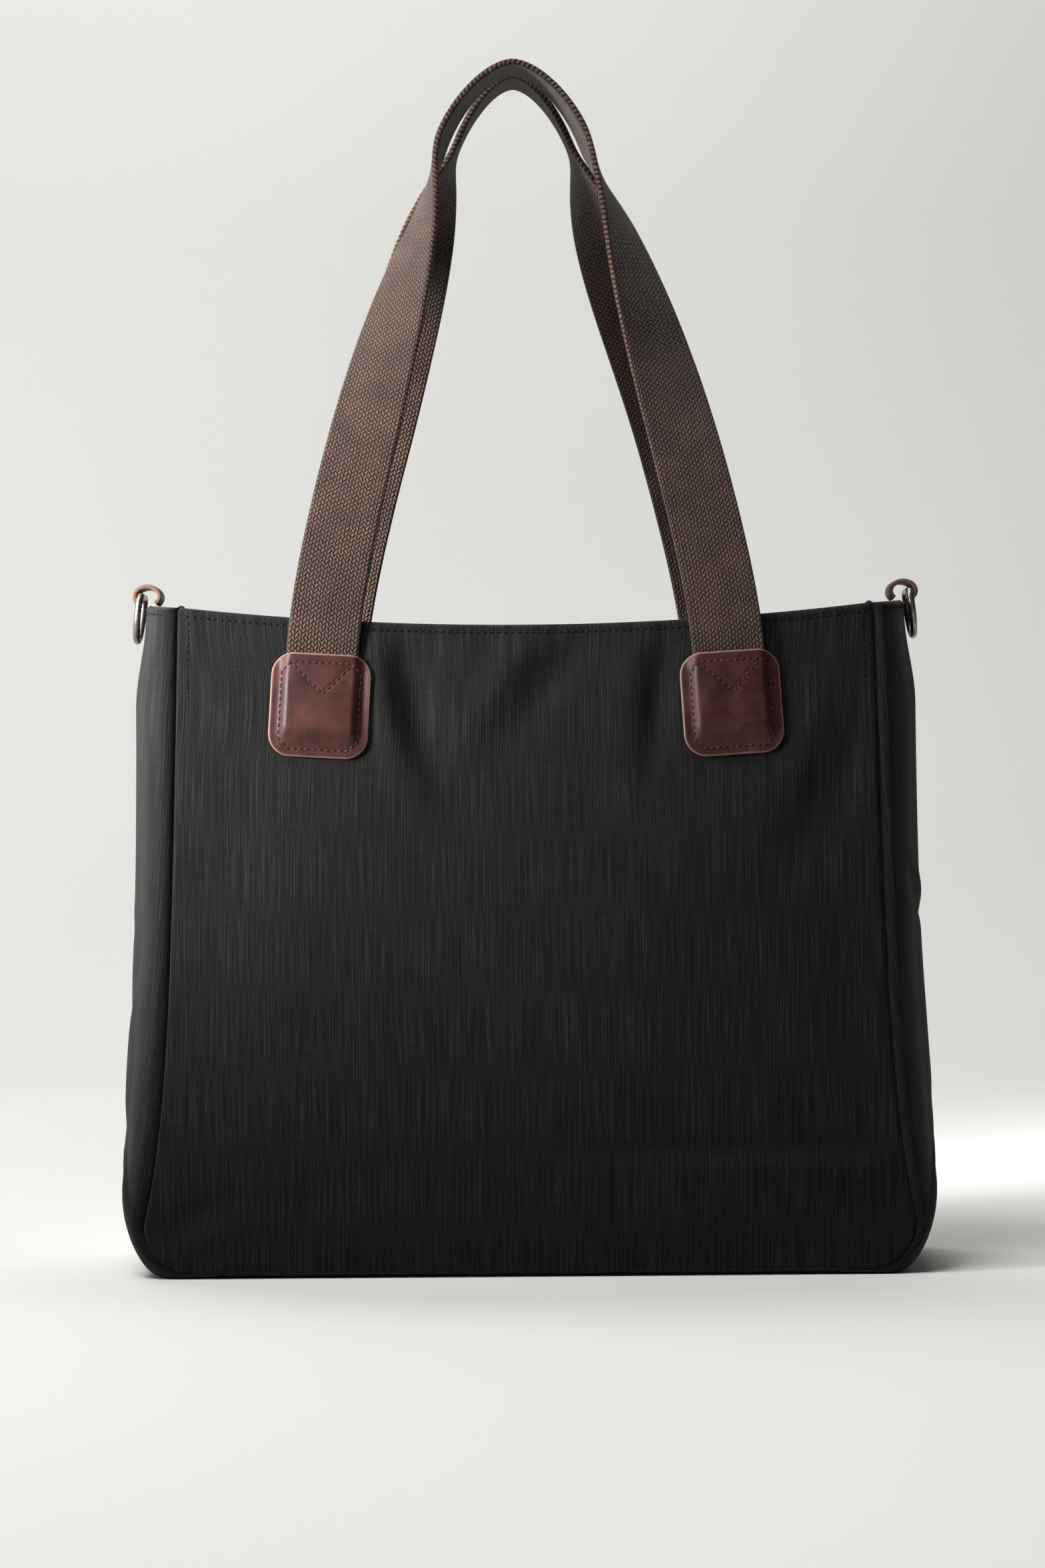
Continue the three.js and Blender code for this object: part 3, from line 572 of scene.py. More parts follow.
class WaxedHide(Finish):
    """Waxed cowhide, dark red-brown, with fine pores, cloudy colour and a paler burnished edge."""

    title = "waxed_brown_leather"
    slot = "leather"
    surface = {"Specular IOR Level": 0.2, "Coat Weight": 0.04, "Coat Roughness": 0.3}

    def paint(self, tree: bpy.types.NodeTree) -> Painted:
        """Clouds the colour, pits the surface and rubs the edge paler where the edge attribute is high."""
        place = add(tree, "ShaderNodeTexCoord")
        clouds = add(tree, "ShaderNodeTexNoise", {"Vector": place.outputs["Object"], "Scale": 70.0,
                     "Detail": 4.0, "Roughness": 0.55, "Distortion": 0.4})
        colour = add(tree, "ShaderNodeValToRGB", {"Fac": clouds.outputs["Fac"]},
                     [(0.3, "#230e0c"), (0.55, "#361916"), (0.8, "#4a2722")])
        edge = add(tree, "ShaderNodeAttribute", attribute_name="edge")
        worn = add(tree, "ShaderNodeMix", {"Factor": edge.outputs["Fac"], 6: colour.outputs["Color"],
                   7: linear("#9a7a6c")}, data_type="RGBA", blend_type="MIX")
        pores = add(tree, "ShaderNodeTexVoronoi", {"Vector": place.outputs["Object"], "Scale": 1600.0},
                    feature="F1")
        crease = add(tree, "ShaderNodeTexNoise", {"Vector": place.outputs["Object"], "Scale": 420.0,
                     "Detail": 3.0, "Roughness": 0.6})
        height = add(tree, "ShaderNodeMath", {0: crease.outputs["Fac"], 1: 1.2, 2: pores.outputs["Distance"]},
                     operation="MULTIPLY_ADD")
        bump = add(tree, "ShaderNodeBump", {"Height": height.outputs[0], "Strength": 0.55,
                   "Distance": 0.12 * MM})
        gloss = add(tree, "ShaderNodeMapRange", {"Value": clouds.outputs["Fac"], "From Min": 0.3,
                    "From Max": 0.75, "To Min": 0.46, "To Max": 0.58})
        return {"Base Color": worn.outputs[2], "Normal": bump.outputs[0], "Roughness": gloss.outputs[0]}


class PlainStock(Finish):
    """Board, backing or moulded nylon: one tone, finely mottled and pitted.

    Attributes:
        mottle: Scale of the mottling.
        pale_at: Place of the paler tone on the mottling's ramp.
        pits: Strength and depth of the pits, the depth in millimetres.
    """

    mottle = 1900.0
    pale_at = 0.65
    pits = (0.4, 0.08)

    def __init__(self, title: str, slot: str, dark: str, light: str, roughness: float = 0.7) -> None:
        """Keeps the stock's two tones and its roughness."""
        super().__init__()
        self.title, self.slot, self.tones = title, slot, (dark, light)
        self.surface = {**self.surface, "Roughness": roughness}

    def paint(self, tree: bpy.types.NodeTree) -> Painted:
        """Mottles the stock at half a millimetre."""
        place = add(tree, "ShaderNodeTexCoord")
        specks = add(tree, "ShaderNodeTexNoise", {"Vector": place.outputs["Object"], "Scale": self.mottle,
                     "Detail": 2.0})
        colour = add(tree, "ShaderNodeValToRGB", {"Fac": specks.outputs["Fac"]},
                     [(0.35, self.tones[0]), (self.pale_at, self.tones[1])])
        bump = add(tree, "ShaderNodeBump", {"Height": specks.outputs["Fac"], "Strength": self.pits[0],
                   "Distance": self.pits[1] * MM})
        return {"Base Color": colour.outputs["Color"], "Normal": bump.outputs[0]}


class SpunThread(PlainStock):
    """Waxed polyester sewing thread: its plies and fibres vary its tone finely."""

    mottle = 1500.0
    pale_at = 0.7
    pits = (0.6, 0.1)
    surface = {"Specular IOR Level": 0.2}


class AntiqueNickel(Finish):
    """Steel wire and plate in antique nickel: grey metal, brownish in its dull patches, faintly scratched."""

    title = "antique_nickel_steel"
    slot = "gunmetal"
    surface = {"Metallic": 1.0}

    def paint(self, tree: bpy.types.NodeTree) -> Painted:
        """Mottles the plating and roughens it in the same patches."""
        place = add(tree, "ShaderNodeTexCoord")
        tarnish = add(tree, "ShaderNodeTexNoise", {"Vector": place.outputs["Object"], "Scale": 260.0,
                      "Detail": 4.0})
        colour = add(tree, "ShaderNodeValToRGB", {"Fac": tarnish.outputs["Fac"]},
                     [(0.35, "#6d645c"), (0.7, "#a39a90")])
        rough = add(tree, "ShaderNodeMapRange", {"Value": tarnish.outputs["Fac"], "From Min": 0.3,
                    "From Max": 0.75, "To Min": 0.42, "To Max": 0.24})
        scratch = add(tree, "ShaderNodeTexNoise", {"Vector": place.outputs["Object"], "Scale": 2500.0,
                      "Detail": 1.0})
        bump = add(tree, "ShaderNodeBump", {"Height": scratch.outputs["Fac"], "Strength": 0.15,
                   "Distance": 0.05 * MM})
        return {"Base Color": colour.outputs["Color"], "Normal": bump.outputs[0],
                "Roughness": rough.outputs[0]}


class StudioPaper(Finish):
    """Matt studio paper, almost even in tone."""

    title = "matt_studio_paper"
    surface = {"Roughness": 0.9, "Specular IOR Level": 0.1}

    def paint(self, tree: bpy.types.NodeTree) -> Painted:
        """Tones the paper softly over half a metre."""
        place = add(tree, "ShaderNodeTexCoord")
        soft = add(tree, "ShaderNodeTexNoise", {"Vector": place.outputs["Object"], "Scale": 1.2,
                   "Detail": 1.0})
        colour = add(tree, "ShaderNodeValToRGB", {"Fac": soft.outputs["Fac"]},
                     [(0.3, "#e3e3e0"), (0.7, "#e9e9e6")])
        return {"Base Color": colour.outputs["Color"]}


CANVAS = WovenCloth("charcoal_cotton_canvas", "canvas", "#060606", "#101010", "#2d2d2c",
                    slub=1.1, relief=0.06)
LINING = WovenCloth("brown_cotton_lining", "lining", "#2a2420", "#463c35", "#5d5147", pitch=0.6,
                    slub=1.0, relief=0.05, sheen=0.1)
WEBBING = CottonWebbing()
HIDE = WaxedHide()
NICKEL = AntiqueNickel()
# The black thread's tones are set darker than the thread alone, as painted shade of the puckers round its
# stitches.
BLACK_THREAD = SpunThread("black_topstitch_thread", "canvas", "#050506", "#121213")
BROWN_THREAD = SpunThread("brown_saddle_thread", "leather", "#1f1412", "#4a322c")
BACKING = PlainStock("felt_backing", "backing", "#232325", "#303033", 0.9)
BOARD = PlainStock("moulded_base_board", "board", "#26262a", "#343438", 0.6)
ZIP_TAPE = WovenCloth("black_zip_tape", "zip_cloth", "#121011", "#221f1e", "#2f2b29", pitch=0.5,
                      slub=0.6, relief=0.05)
NYLON = PlainStock("moulded_nylon_coil", "zip_cloth", "#141213", "#242020", 0.4)
PAPER = StudioPaper()


# ---- The bag's outer surface ---------------------------------------------------------------------


@dataclass(frozen=True)
class Fold:
    """A soft fold on a face: a Gaussian ridge, or a hollow where its height is below 0.

    Attributes:
        x: Its middle across the face.
        z: Its middle above the floor.
        turn: Degrees that its length leans from upright towards +X.
        length: Half its length.
        width: Half its width.
        height: How far it stands out.
        bend: Sideways bow of its line at its ends.
    """

    x: float
    z: float
    turn: float
    length: float
    width: float
    height: float
    bend: float = 0.0

    def rise(self, x: Array, z: Array) -> Array:
        """Returns height * exp(-(u/width)^2 - (v/length)^2), v along the fold and u across its bow."""
        lean = math.radians(self.turn)
        dx, dz = x - self.x, z - self.z
        v = dx * math.sin(lean) + dz * math.cos(lean)
        u = dx * math.cos(lean) - dz * math.sin(lean)
        u = u - self.bend * (v / self.length) ** 2
        return self.height * np.exp(-((u / self.width) ** 2) - (v / self.length) ** 2)


FRONT_FOLDS = (
    Fold(-77.0, 304.0, -12.0, 44.0, 9.0, 4.6, 5.0),
    Fold(-57.0, 300.0, -14.0, 44.0, 11.0, -4.4, 5.0),
    Fold(-8.0, 322.0, 32.0, 38.0, 9.0, 2.6),
    Fold(12.0, 312.0, 36.0, 40.0, 10.0, -2.8),
    Fold(54.0, 306.0, 8.0, 32.0, 10.0, 2.4),
    Fold(71.0, 302.0, 6.0, 36.0, 8.0, -3.4),
    Fold(140.0, 266.0, 28.0, 60.0, 15.0, 2.0),
    Fold(166.0, 262.0, 26.0, 62.0, 17.0, -2.8),
    Fold(172.0, 150.0, -6.0, 80.0, 16.0, -1.6),
    Fold(112.0, 66.5, 90.0, 90.0, 5.0, -1.6),
    Fold(112.0, 57.0, 90.0, 90.0, 7.0, 1.5),
    Fold(-175.0, 34.0, 62.0, 20.0, 7.0, -2.4),
    Fold(-168.0, 22.0, 66.0, 26.0, 7.0, 1.2),
    Fold(-110.0, 44.0, 78.0, 60.0, 10.0, -1.1),
    Fold(176.0, 32.0, -62.0, 20.0, 7.0, -1.8),
    Fold(-150.0, 240.0, 12.0, 50.0, 14.0, -1.0),
    Fold(-130.0, 150.0, 8.0, 90.0, 26.0, 1.4),
    Fold(-40.0, 190.0, -10.0, 80.0, 30.0, -1.2),
    Fold(60.0, 170.0, 12.0, 90.0, 34.0, 1.6),
    Fold(20.0, 90.0, 80.0, 90.0, 22.0, 1.2),
)
BACK_FOLDS = (
    Fold(-84.0, 300.0, -10.0, 40.0, 10.0, -2.2, 4.0),
    Fold(-64.0, 304.0, -12.0, 36.0, 9.0, 1.8, 4.0),
    Fold(20.0, 316.0, -34.0, 40.0, 10.0, -1.6),
    Fold(76.0, 300.0, 14.0, 40.0, 10.0, 2.2),
    Fold(60.0, 292.0, 14.0, 42.0, 10.0, -1.9),
    Fold(-160.0, 250.0, -26.0, 60.0, 16.0, -2.4),
    Fold(160.0, 200.0, 14.0, 80.0, 16.0, -1.7),
    Fold(-60.0, 64.0, 90.0, 90.0, 6.0, -0.8),
    Fold(174.0, 34.0, -60.0, 22.0, 8.0, -2.2),
    Fold(-172.0, 36.0, 64.0, 22.0, 8.0, -2.0),
    Fold(-40.0, 170.0, 8.0, 90.0, 32.0, 1.6),
    Fold(70.0, 140.0, -10.0, 90.0, 30.0, -1.3),
)
GUSSET_FOLDS = (
    Fold(0.0, 300.0, 0.0, 60.0, 11.0, -2.2),
    Fold(-22.0, 196.0, -58.0, 26.0, 5.0, -1.7, 3.0),
    Fold(-22.0, 206.0, -58.0, 26.0, 6.0, 1.3, 3.0),
    Fold(18.0, 150.0, 40.0, 34.0, 8.0, -1.3),
    Fold(10.0, 80.0, -70.0, 30.0, 8.0, -1.2),
    Fold(-14.0, 40.0, 60.0, 26.0, 7.0, 1.2),
)


@dataclass(frozen=True)
class BagForm:
    """The outer surface of the filled bag, as it stands.

    The faces are lofted between the side seams and stand out in the middle; the gussets swell
    between the same seams; the rim hangs in the middle of each face.
    """

    rim_height: float = 355.0
    rim_sag: float = 10.5
    half_width: float = 204.5
    base_half_depth: float = 65.0
    rim_half_depth: float = 52.0
    corner_radius: float = 26.0
    seam_lift: float = 2.5
    seam_flare: float = 13.0
    flare_height: float = 60.0
    seam_taper: float = 7.0
    bulge: float = 10.0
    rim_bow: float = 3.0
    face_fullness: float = 2.6
    gusset_spread: float = 7.5
    gusset_belly: float = 7.0
    belly_height: float = 72.0
    belly_reach: float = 85.0
    hem_pull: float = 6.5
    hem_reach: float = 52.0
    gusset_rise: float = 2.5
    gusset_fullness: float = 2.4
    base_fullness: float = 16.0
    foot_inset: float = 24.5
    cross_seam_x: float = 163.0
    seam_gap: float = 0.25
    roll: float = 2.1
    roll_depth: float = 4.0

    @property
    def corner_top(self) -> float:
        """Height at which the side seam meets its rounded bottom corner."""
        return self.seam_lift + self.corner_radius

    @property
    def corner_x(self) -> float:
        """Middle of the rounded bottom corner."""
        return self.seam_half_width(np.array(self.corner_top)) - self.corner_radius

    def seam_half_width(self, z: Array) -> Array:
        """Middle to side seam: the bottom width less a flare that dies away upwards and a taper."""
        flare = 1.0 - np.exp(-(z - self.corner_top) / self.flare_height)
        return self.half_width - self.seam_flare * flare - self.seam_taper * z / self.rim_height

    def gusset_half_width(self, z: Array) -> Array:
        """Middle to the gusset's middle: a spread, a Gaussian belly low down and the hem's pull."""
        belly = self.gusset_belly * np.exp(-(((z - self.belly_height) / self.belly_reach) ** 2))
        hem = self.hem_pull * smooth((z - self.rim_height + self.hem_reach) / self.hem_reach)
        return self.half_width + self.gusset_spread + belly - hem

    def seam_half_depth(self, z: Array) -> Array:
        """Middle to the front seam, straight from floor to rim."""
        return lerp(self.base_half_depth, self.rim_half_depth, z / self.rim_height)

    def half_depth(self, x: Array, z: Array) -> Array:
        """Middle to a face: the seam's depth plus a bulge that fades to the side seams."""
        up = np.clip(z / self.rim_height, 0.0, 1.0)
        out = self.bulge * np.sin(np.pi * up**0.75) + self.rim_bow * up
        share = np.minimum(1.0, np.abs(x) / self.seam_half_width(np.maximum(z, self.corner_top)))
        return self.seam_half_depth(z) + out * (1.0 - share**self.face_fullness)

    def sagged(self, z: Array, share: Array) -> Array:
        """Height once the rim has sagged, most at the middle of a face and at its top."""
        up = np.maximum(0.0, (z - self.seam_lift) / (self.rim_height - self.seam_lift))
        return z - self.rim_sag * (1.0 - share * share) * up * up

    def seam_line(self, s: Array) -> Array:
        """Side seam in X and Z: s runs 0 to 1 down the side, to 2 round the corner, to 3 along the base."""
        z = lerp(self.rim_height, self.corner_top, s)
        turn = np.clip(s - 1.0, 0.0, 1.0) * np.pi / 2.0
        side = np.stack([self.seam_half_width(z), z], -1)
        corner = np.stack([self.corner_x + self.corner_radius * np.cos(turn),
                           self.corner_top - self.corner_radius * np.sin(turn)], -1)
        floor = np.stack([lerp(self.corner_x, self.cross_seam_x, s - 2.0),
                          np.full_like(z, self.seam_lift)], -1)
        return self.staged(s, side, corner, floor)

    def gusset_line(self, s: Array) -> Array:
        """Middle of the gusset in X and Z, by the same s: straight, a quarter ellipse, then the floor."""
        z = lerp(self.rim_height + self.gusset_rise, self.belly_height, s)
        foot = self.gusset_half_width(np.array(self.belly_height)) - self.foot_inset
        turn = np.clip(s - 1.0, 0.0, 1.0) * np.pi / 2.0
        side = np.stack([self.gusset_half_width(z), z], -1)
        corner = np.stack([foot + self.foot_inset * np.cos(turn),
                           self.belly_height * (1.0 - np.sin(turn))], -1)
        floor = np.stack([lerp(foot, self.cross_seam_x, s - 2.0), np.zeros_like(z)], -1)
        return self.staged(s, side, corner, floor)

    @staticmethod
    def staged(s: Array, side: Array, corner: Array, floor: Array) -> Array:
        """Returns the side up to s = 1, the corner up to s = 2 and the floor beyond."""
        stage = s[..., None]
        return np.where(stage <= 1.0, side, np.where(stage < 2.0, corner, floor))

    @staticmethod
    def inward(line: Callable[[Array], Array], s: Array) -> Array:
        """Returns a line's unit normals into the bag, in X and Z."""
        near = 0.004
        along = unit(line(np.minimum(3.0, s + near)) - line(np.maximum(0.0, s - near)))
        return np.stack([along[..., 1], -along[..., 0]], -1)

    def inset(self, line: Callable[[Array], Array], s: Array, distance: Array) -> Array:
        """Returns a line's points moved into the bag along its normal by a distance."""
        return line(s) + self.inward(line, s) * np.asarray(distance)[..., None]

    def drop(self, millimetres: Array) -> Array:
        """Returns s at a depth below the rim."""
        return np.asarray(millimetres) / (self.rim_height - self.corner_top)

    def roll_radius(self, depth: Array) -> Array:
        """Radius of a seam's roll, which shrinks to almost nothing at the roll's depth."""
        return self.roll * np.clip(1.0 - depth / self.roll_depth, 0.001, 1.0)

    def rounded(self, distance: Array, depth: Array) -> Array:
        """How far a face or the base turns in at its seam: a quarter circle of the roll's radius.

        Args:
            distance: How far each point is from the seam.
            depth: Distance in from the outer surface.

        Returns:
            How far each point moves into the bag.
        """
        radius = self.roll_radius(depth)
        return radius - np.sqrt(np.maximum(radius**2 - np.clip(radius - distance, 0.0, None) ** 2, 0.0))

    def rolled(self, distance: Array, s: Array, depth: Array) -> tuple[Array, Array]:
        """Rolls a gusset's edge forward beside its seam: half a circle that ends against the face.

        Args:
            distance: How far each point is from the seam.
            s: Place down the seam line; the roll fades under the bag.
            depth: Distance in from the outer surface.

        Returns:
            The new distance from the seam, and how far the point moves out of the bag.
        """
        radius = self.roll_radius(depth) * (1.0 - 0.999 * smooth(s - 1.15))
        turn = np.pi * np.clip(1.0 - distance / (2.0 * radius), 0.0, 1.0)
        past = np.maximum(distance - 2.0 * radius, 0.0)
        inside = distance < 2.0 * radius
        out = np.where(inside, radius * (1.0 + np.cos(turn)), 2.0 * radius * smooth(1.0 - past / 26.0))
        beyond = distance - radius * smooth(1.0 - past / 30.0)
        return np.where(inside, radius * (1.0 - np.sin(turn)), beyond), out

    def folds_at(self, face: Face, x: Array, z: Array) -> Array:
        """Sum of a face's folds, calmed near its seams, its rim and under its strap patches."""
        folds = FRONT_FOLDS if face is Face.FRONT else BACK_FOLDS
        total = sum(fold.rise(x, z) for fold in folds)
        side = self.seam_half_width(np.maximum(z, self.corner_top)) - np.abs(x)
        calm = smooth(side / 16.0) * smooth((z - self.seam_lift) / 14.0)
        calm = calm * (0.35 + 0.65 * smooth((self.rim_height - 8.0 - z) / 22.0))
        patch = ((np.abs(x) - STRAP_X) / 29.0) ** 4 + ((z - 305.0) / 40.0) ** 4
        return total * calm * (1.0 - np.exp(-patch))

    def face_point(self, face: Face, share: Array, s: Array, depth: Array) -> Array:
        """A point of a face: x by share of the inset seam, y by the half depth and folds, z sagged.

        Args:
            face: Front or back.
            share: -1 at the left seam to 1 at the right one.
            s: Place down the seam line.
            depth: Distance in from the outer surface.

        Returns:
            Points with a last axis of 3.
        """
        edge = self.inset(self.seam_line, s, depth + self.seam_gap)
        x = share * edge[..., 0]
        z = self.sagged(edge[..., 1], share)
        corner = np.stack([np.maximum(np.abs(x) - self.corner_x, 0.0),
                           np.minimum(z - self.corner_top, 0.0)], -1)
        seam = np.where(z < self.corner_top, self.corner_radius - np.linalg.norm(corner, axis=-1),
                        self.seam_half_width(np.maximum(z, self.corner_top)) - np.abs(x))
        sink = self.rounded(np.maximum(seam - depth, 0.0), depth)
        y = self.half_depth(x, z) + self.folds_at(face, x, z) - depth - sink
        return np.stack([x, face.value * y, z], -1)

    def gusset_point(self, hand: Hand, share: Array, s: Array, depth: Array) -> Array:
        """A point of a gusset: from the seam towards the middle line by 1 - |share|^fullness, then folds.

        Args:
            hand: Left or right.
            share: -1 at the front seam to 1 at the back one.
            s: Place down the lines.
            depth: Distance in from the outer surface.

        Returns:
            Points with a last axis of 3.
        """
        seam = self.inset(self.seam_line, s, depth)
        middle = self.inset(self.gusset_line, s, depth)
        fullness = lerp(self.gusset_fullness, self.base_fullness, np.clip(s - 1.0, 0.0, 1.0))
        weight = (1.0 - np.abs(share) ** fullness)[..., None]
        at = lerp(seam, middle, weight)
        half = self.seam_half_depth(seam[..., 1]) - depth - self.seam_gap
        distance, out = self.rolled((1.0 - np.abs(share)) * half, s, depth)
        y = np.sign(share) * (half - distance)
        wrinkle = sum(fold.rise(y * hand.value, at[..., 1]) for fold in GUSSET_FOLDS)
        calm = smooth((1.0 - np.abs(share)) * half / 14.0) * smooth(at[..., 1] / 12.0)
        calm = calm * smooth((self.rim_height - at[..., 1]) / 24.0)
        at = at - self.inward(self.seam_line, s) * (out + wrinkle * calm)[..., None]
        return np.stack([hand.value * at[..., 0], y, np.maximum(at[..., 1], depth)], -1)


FORM = BagForm()


def on_bag(piece: bpy.types.Object) -> None:
    """Lets a piece ride on the bag."""
    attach(piece, "bag")
    LOG.info("on the bag: %s", piece.name)


def clustered(half: float, fine: Sequence[float], step: float) -> Array:
    """Places from -half to half, at the given distances from both edges and evenly between."""
    count = int(math.ceil(2.0 * (half - fine[-1]) / step))
    middle = np.linspace(fine[-1] - half, half - fine[-1], count + 1)
    ends = np.array(fine[:-1])
    return np.concatenate([ends - half, middle, (half - ends)[::-1]])


# ---- Canvas shell --------------------------------------------------------------------------------


@dataclass
class CanvasShell:
    """Two faces, two gussets and a base of canvas, their hem turned over the rim, and their topstitching.

    Attributes:
        canvas: Thickness of the cloth.
        hem_roll: Radius of the turn over the rim.
        hem_inside: How far the turned hem runs down inside.
        topstitch: Rim to the row of topstitching.
        step: Spacing of the grids.
        gusset_half: Half the gusset's width, for the spacing across it.
        edge_steps: Distances of the grids' outermost points from a seam.
    """

    canvas: float = 1.2
    hem_roll: float = 2.0
    hem_inside: float = 12.0
    topstitch: float = 4.4
    step: float = 3.0
    gusset_half: float = 60.0
    edge_steps: tuple[float, ...] = (0.0, 0.35, 0.7, 1.05, 1.4, 1.75, 2.1, 2.5, 2.9, 3.3, 3.8, 4.3, 5.2, 7.0)

    def rows(self, last: float) -> tuple[Array, Array]:
        """Returns s and depth for each row: up the inside of the hem, over the rim, and down to s = last."""
        turn = np.linspace(np.pi, 0.0, 9)
        over_drop = self.hem_roll * (1.0 - np.sin(turn))
        over_depth = self.hem_roll * (1.0 - np.cos(turn))
        inside = np.array([self.hem_inside, 8.0, 5.0, 3.0])
        hem = np.array([2.6, 3.2, 3.8, 4.4, 5.0, 5.8, 6.8, 8.2, 10.0])
        height = FORM.rim_height - FORM.corner_top
        down = np.arange(10.0 + self.step, height - 0.5 * self.step, self.step)
        drops = np.concatenate([inside, over_drop, hem, down, [height]])
        depth = np.concatenate([np.full(len(inside), 2.0 * self.hem_roll), over_depth,
                                np.zeros(len(hem) + len(down) + 1)])
        rest = np.linspace(1.0, 2.0, 19)[1:]
        if last > 2.0:
            rest = np.concatenate([rest, np.linspace(2.0, last, 10)[1:]])
        s = np.concatenate([FORM.drop(drops), rest])
        return s, np.concatenate([depth, np.zeros(len(rest))])

    def hem_pucker(self, s: Array, across: Array) -> Array:
        """Height of the hem's puckers: a dent at the topstitching and slow waves between stitches."""
        drop = s * (FORM.rim_height - FORM.corner_top)
        dent = 0.4 * np.exp(-(((drop - self.topstitch) / 0.8) ** 2))
        wave = 0.22 * np.sin(across / 2.3) * np.sin(across / 7.1 + 1.0)
        return wave * np.exp(-(((drop - 2.2) / 2.6) ** 2)) - dent

    def face_sheet(self, face: Face) -> bpy.types.Object:
        """Lofts one face from its turned hem down to the bottom seam."""
        s, depth = self.rows(2.0)
        share = clustered(FORM.half_width, self.edge_steps, self.step) / FORM.half_width
        down, across = np.meshgrid(s, share, indexing="ij")
        deep = np.broadcast_to(depth[:, None], down.shape)
        grid = FORM.face_point(face, across, down, deep)
        grid[..., 1] += face.value * self.hem_pucker(down, grid[..., 0]) * (deep < 0.1)
        return closed_sheet(f"{face.word}_canvas", grid, self.canvas,
                            np.array([0.0, -face.value, 0.0]), cloth_map(grid))

    def gusset_sheet(self, hand: Hand) -> bpy.types.Object:
        """Lofts one gusset from its turned hem, down the side and under the bag to the cross seam."""
        s, depth = self.rows(3.0)
        share = clustered(self.gusset_half, self.edge_steps, 2.6) / self.gusset_half
        down, across = np.meshgrid(s, share, indexing="ij")
        deep = np.broadcast_to(depth[:, None], down.shape)
        grid = FORM.gusset_point(hand, across, down, deep)
        grid[..., 0] += hand.value * self.hem_pucker(down, grid[..., 1]) * (deep < 0.1)
        return closed_sheet(f"{hand.word}_gusset_canvas", grid, self.canvas,
                            np.array([-hand.value, 0.0, 0.0]), cloth_map(grid))

    def base_sheet(self) -> bpy.types.Object:
        """Lays the base between the cross seams, its long edges rolled up to the bottom seams."""
        edge = FORM.seam_half_depth(np.array(FORM.seam_lift)) - FORM.seam_gap
        y = clustered(edge, self.edge_steps, 3.0)
        x = clustered(FORM.cross_seam_x - FORM.seam_gap, self.edge_steps, 4.0)
        rows, cols = np.meshgrid(y, x, indexing="ij")
        lift = FORM.seam_lift * smooth(1.0 - (edge - np.abs(rows)) / 9.0)
        sink = FORM.rounded(edge - np.abs(rows), np.zeros_like(rows))
        end = FORM.cross_seam_x - np.abs(cols)
        lift = lift + 0.9 * np.clip(1.0 - end / 1.5, 0.0, 1.0) ** 2
        grid = np.stack([cols, rows, lift + sink], -1)
        return closed_sheet("base_canvas", grid, self.canvas, np.array([0.0, 0.0, 1.0]),
                            np.stack([cols, rows], -1))

    def rim_line(self, face: Face, drop: float, lift: float, margin: float) -> tuple[Array, Array]:
        """A line across a face at a distance below the rim, with its outward normals."""
        share = np.linspace(-1.0, 1.0, 240) * (1.0 - margin / FORM.half_width)
        s = np.full_like(share, float(FORM.drop(drop)))
        line = FORM.face_point(face, share, s, np.full_like(share, -lift))
        return line, np.broadcast_to([0.0, face.value, 0.0], line.shape)

    def stitches(self) -> list[bpy.types.Object]:
        """Sews the topstitching round the rim and the short rows that hold the hem at the side seams."""
        rows = []
        for face in Face:
            line, out = self.rim_line(face, self.topstitch, 0.0, 3.0)
            rows.append(stitch_row(f"rim_topstitch_{face.word}", line, out, 3.7, 2.7, 0.75))
            for hand in Hand:
                drop = np.linspace(6.0, 44.0, 30)
                share = np.full_like(drop, hand.value * (1.0 - 6.2 / FORM.half_width))
                edge = FORM.face_point(face, share, FORM.drop(drop), np.zeros_like(drop))
                name = f"seam_topstitch_{face.word}_{hand.word}"
                out = np.broadcast_to([0.0, face.value, 0.0], edge.shape)
                rows.append(stitch_row(name, edge, out, 3.7, 2.7, 0.6))
        for hand in Hand:
            share = np.linspace(-0.92, 0.92, 90)
            s = np.full_like(share, float(FORM.drop(self.topstitch)))
            line = FORM.gusset_point(hand, share, s, np.zeros_like(share))
            out = np.broadcast_to([hand.value, 0.0, 0.0], line.shape)
            rows.append(stitch_row(f"rim_topstitch_gusset_{hand.word}", line, out, 3.7, 2.7, 0.75))
        return rows

    def build(self) -> None:
        """Makes the shell and its stitching, dresses them and puts them on the bag."""
        for face in Face:
            name = face.word
            piece = CANVAS.wear(self.face_sheet(face))
            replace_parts(piece, f"{name}_panel")
            on_bag(piece)
        for hand in Hand:
            name = hand.word
            piece = CANVAS.wear(self.gusset_sheet(hand))
            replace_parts(piece, f"side_gusset_{name}")
            on_bag(piece)
        base = CANVAS.wear(self.base_sheet())
        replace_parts(base, "base_panel")
        on_bag(base)
        for row in self.stitches():
            on_bag(BLACK_THREAD.wear(row))


# ---- Inside of the bag ---------------------------------------------------------------------------


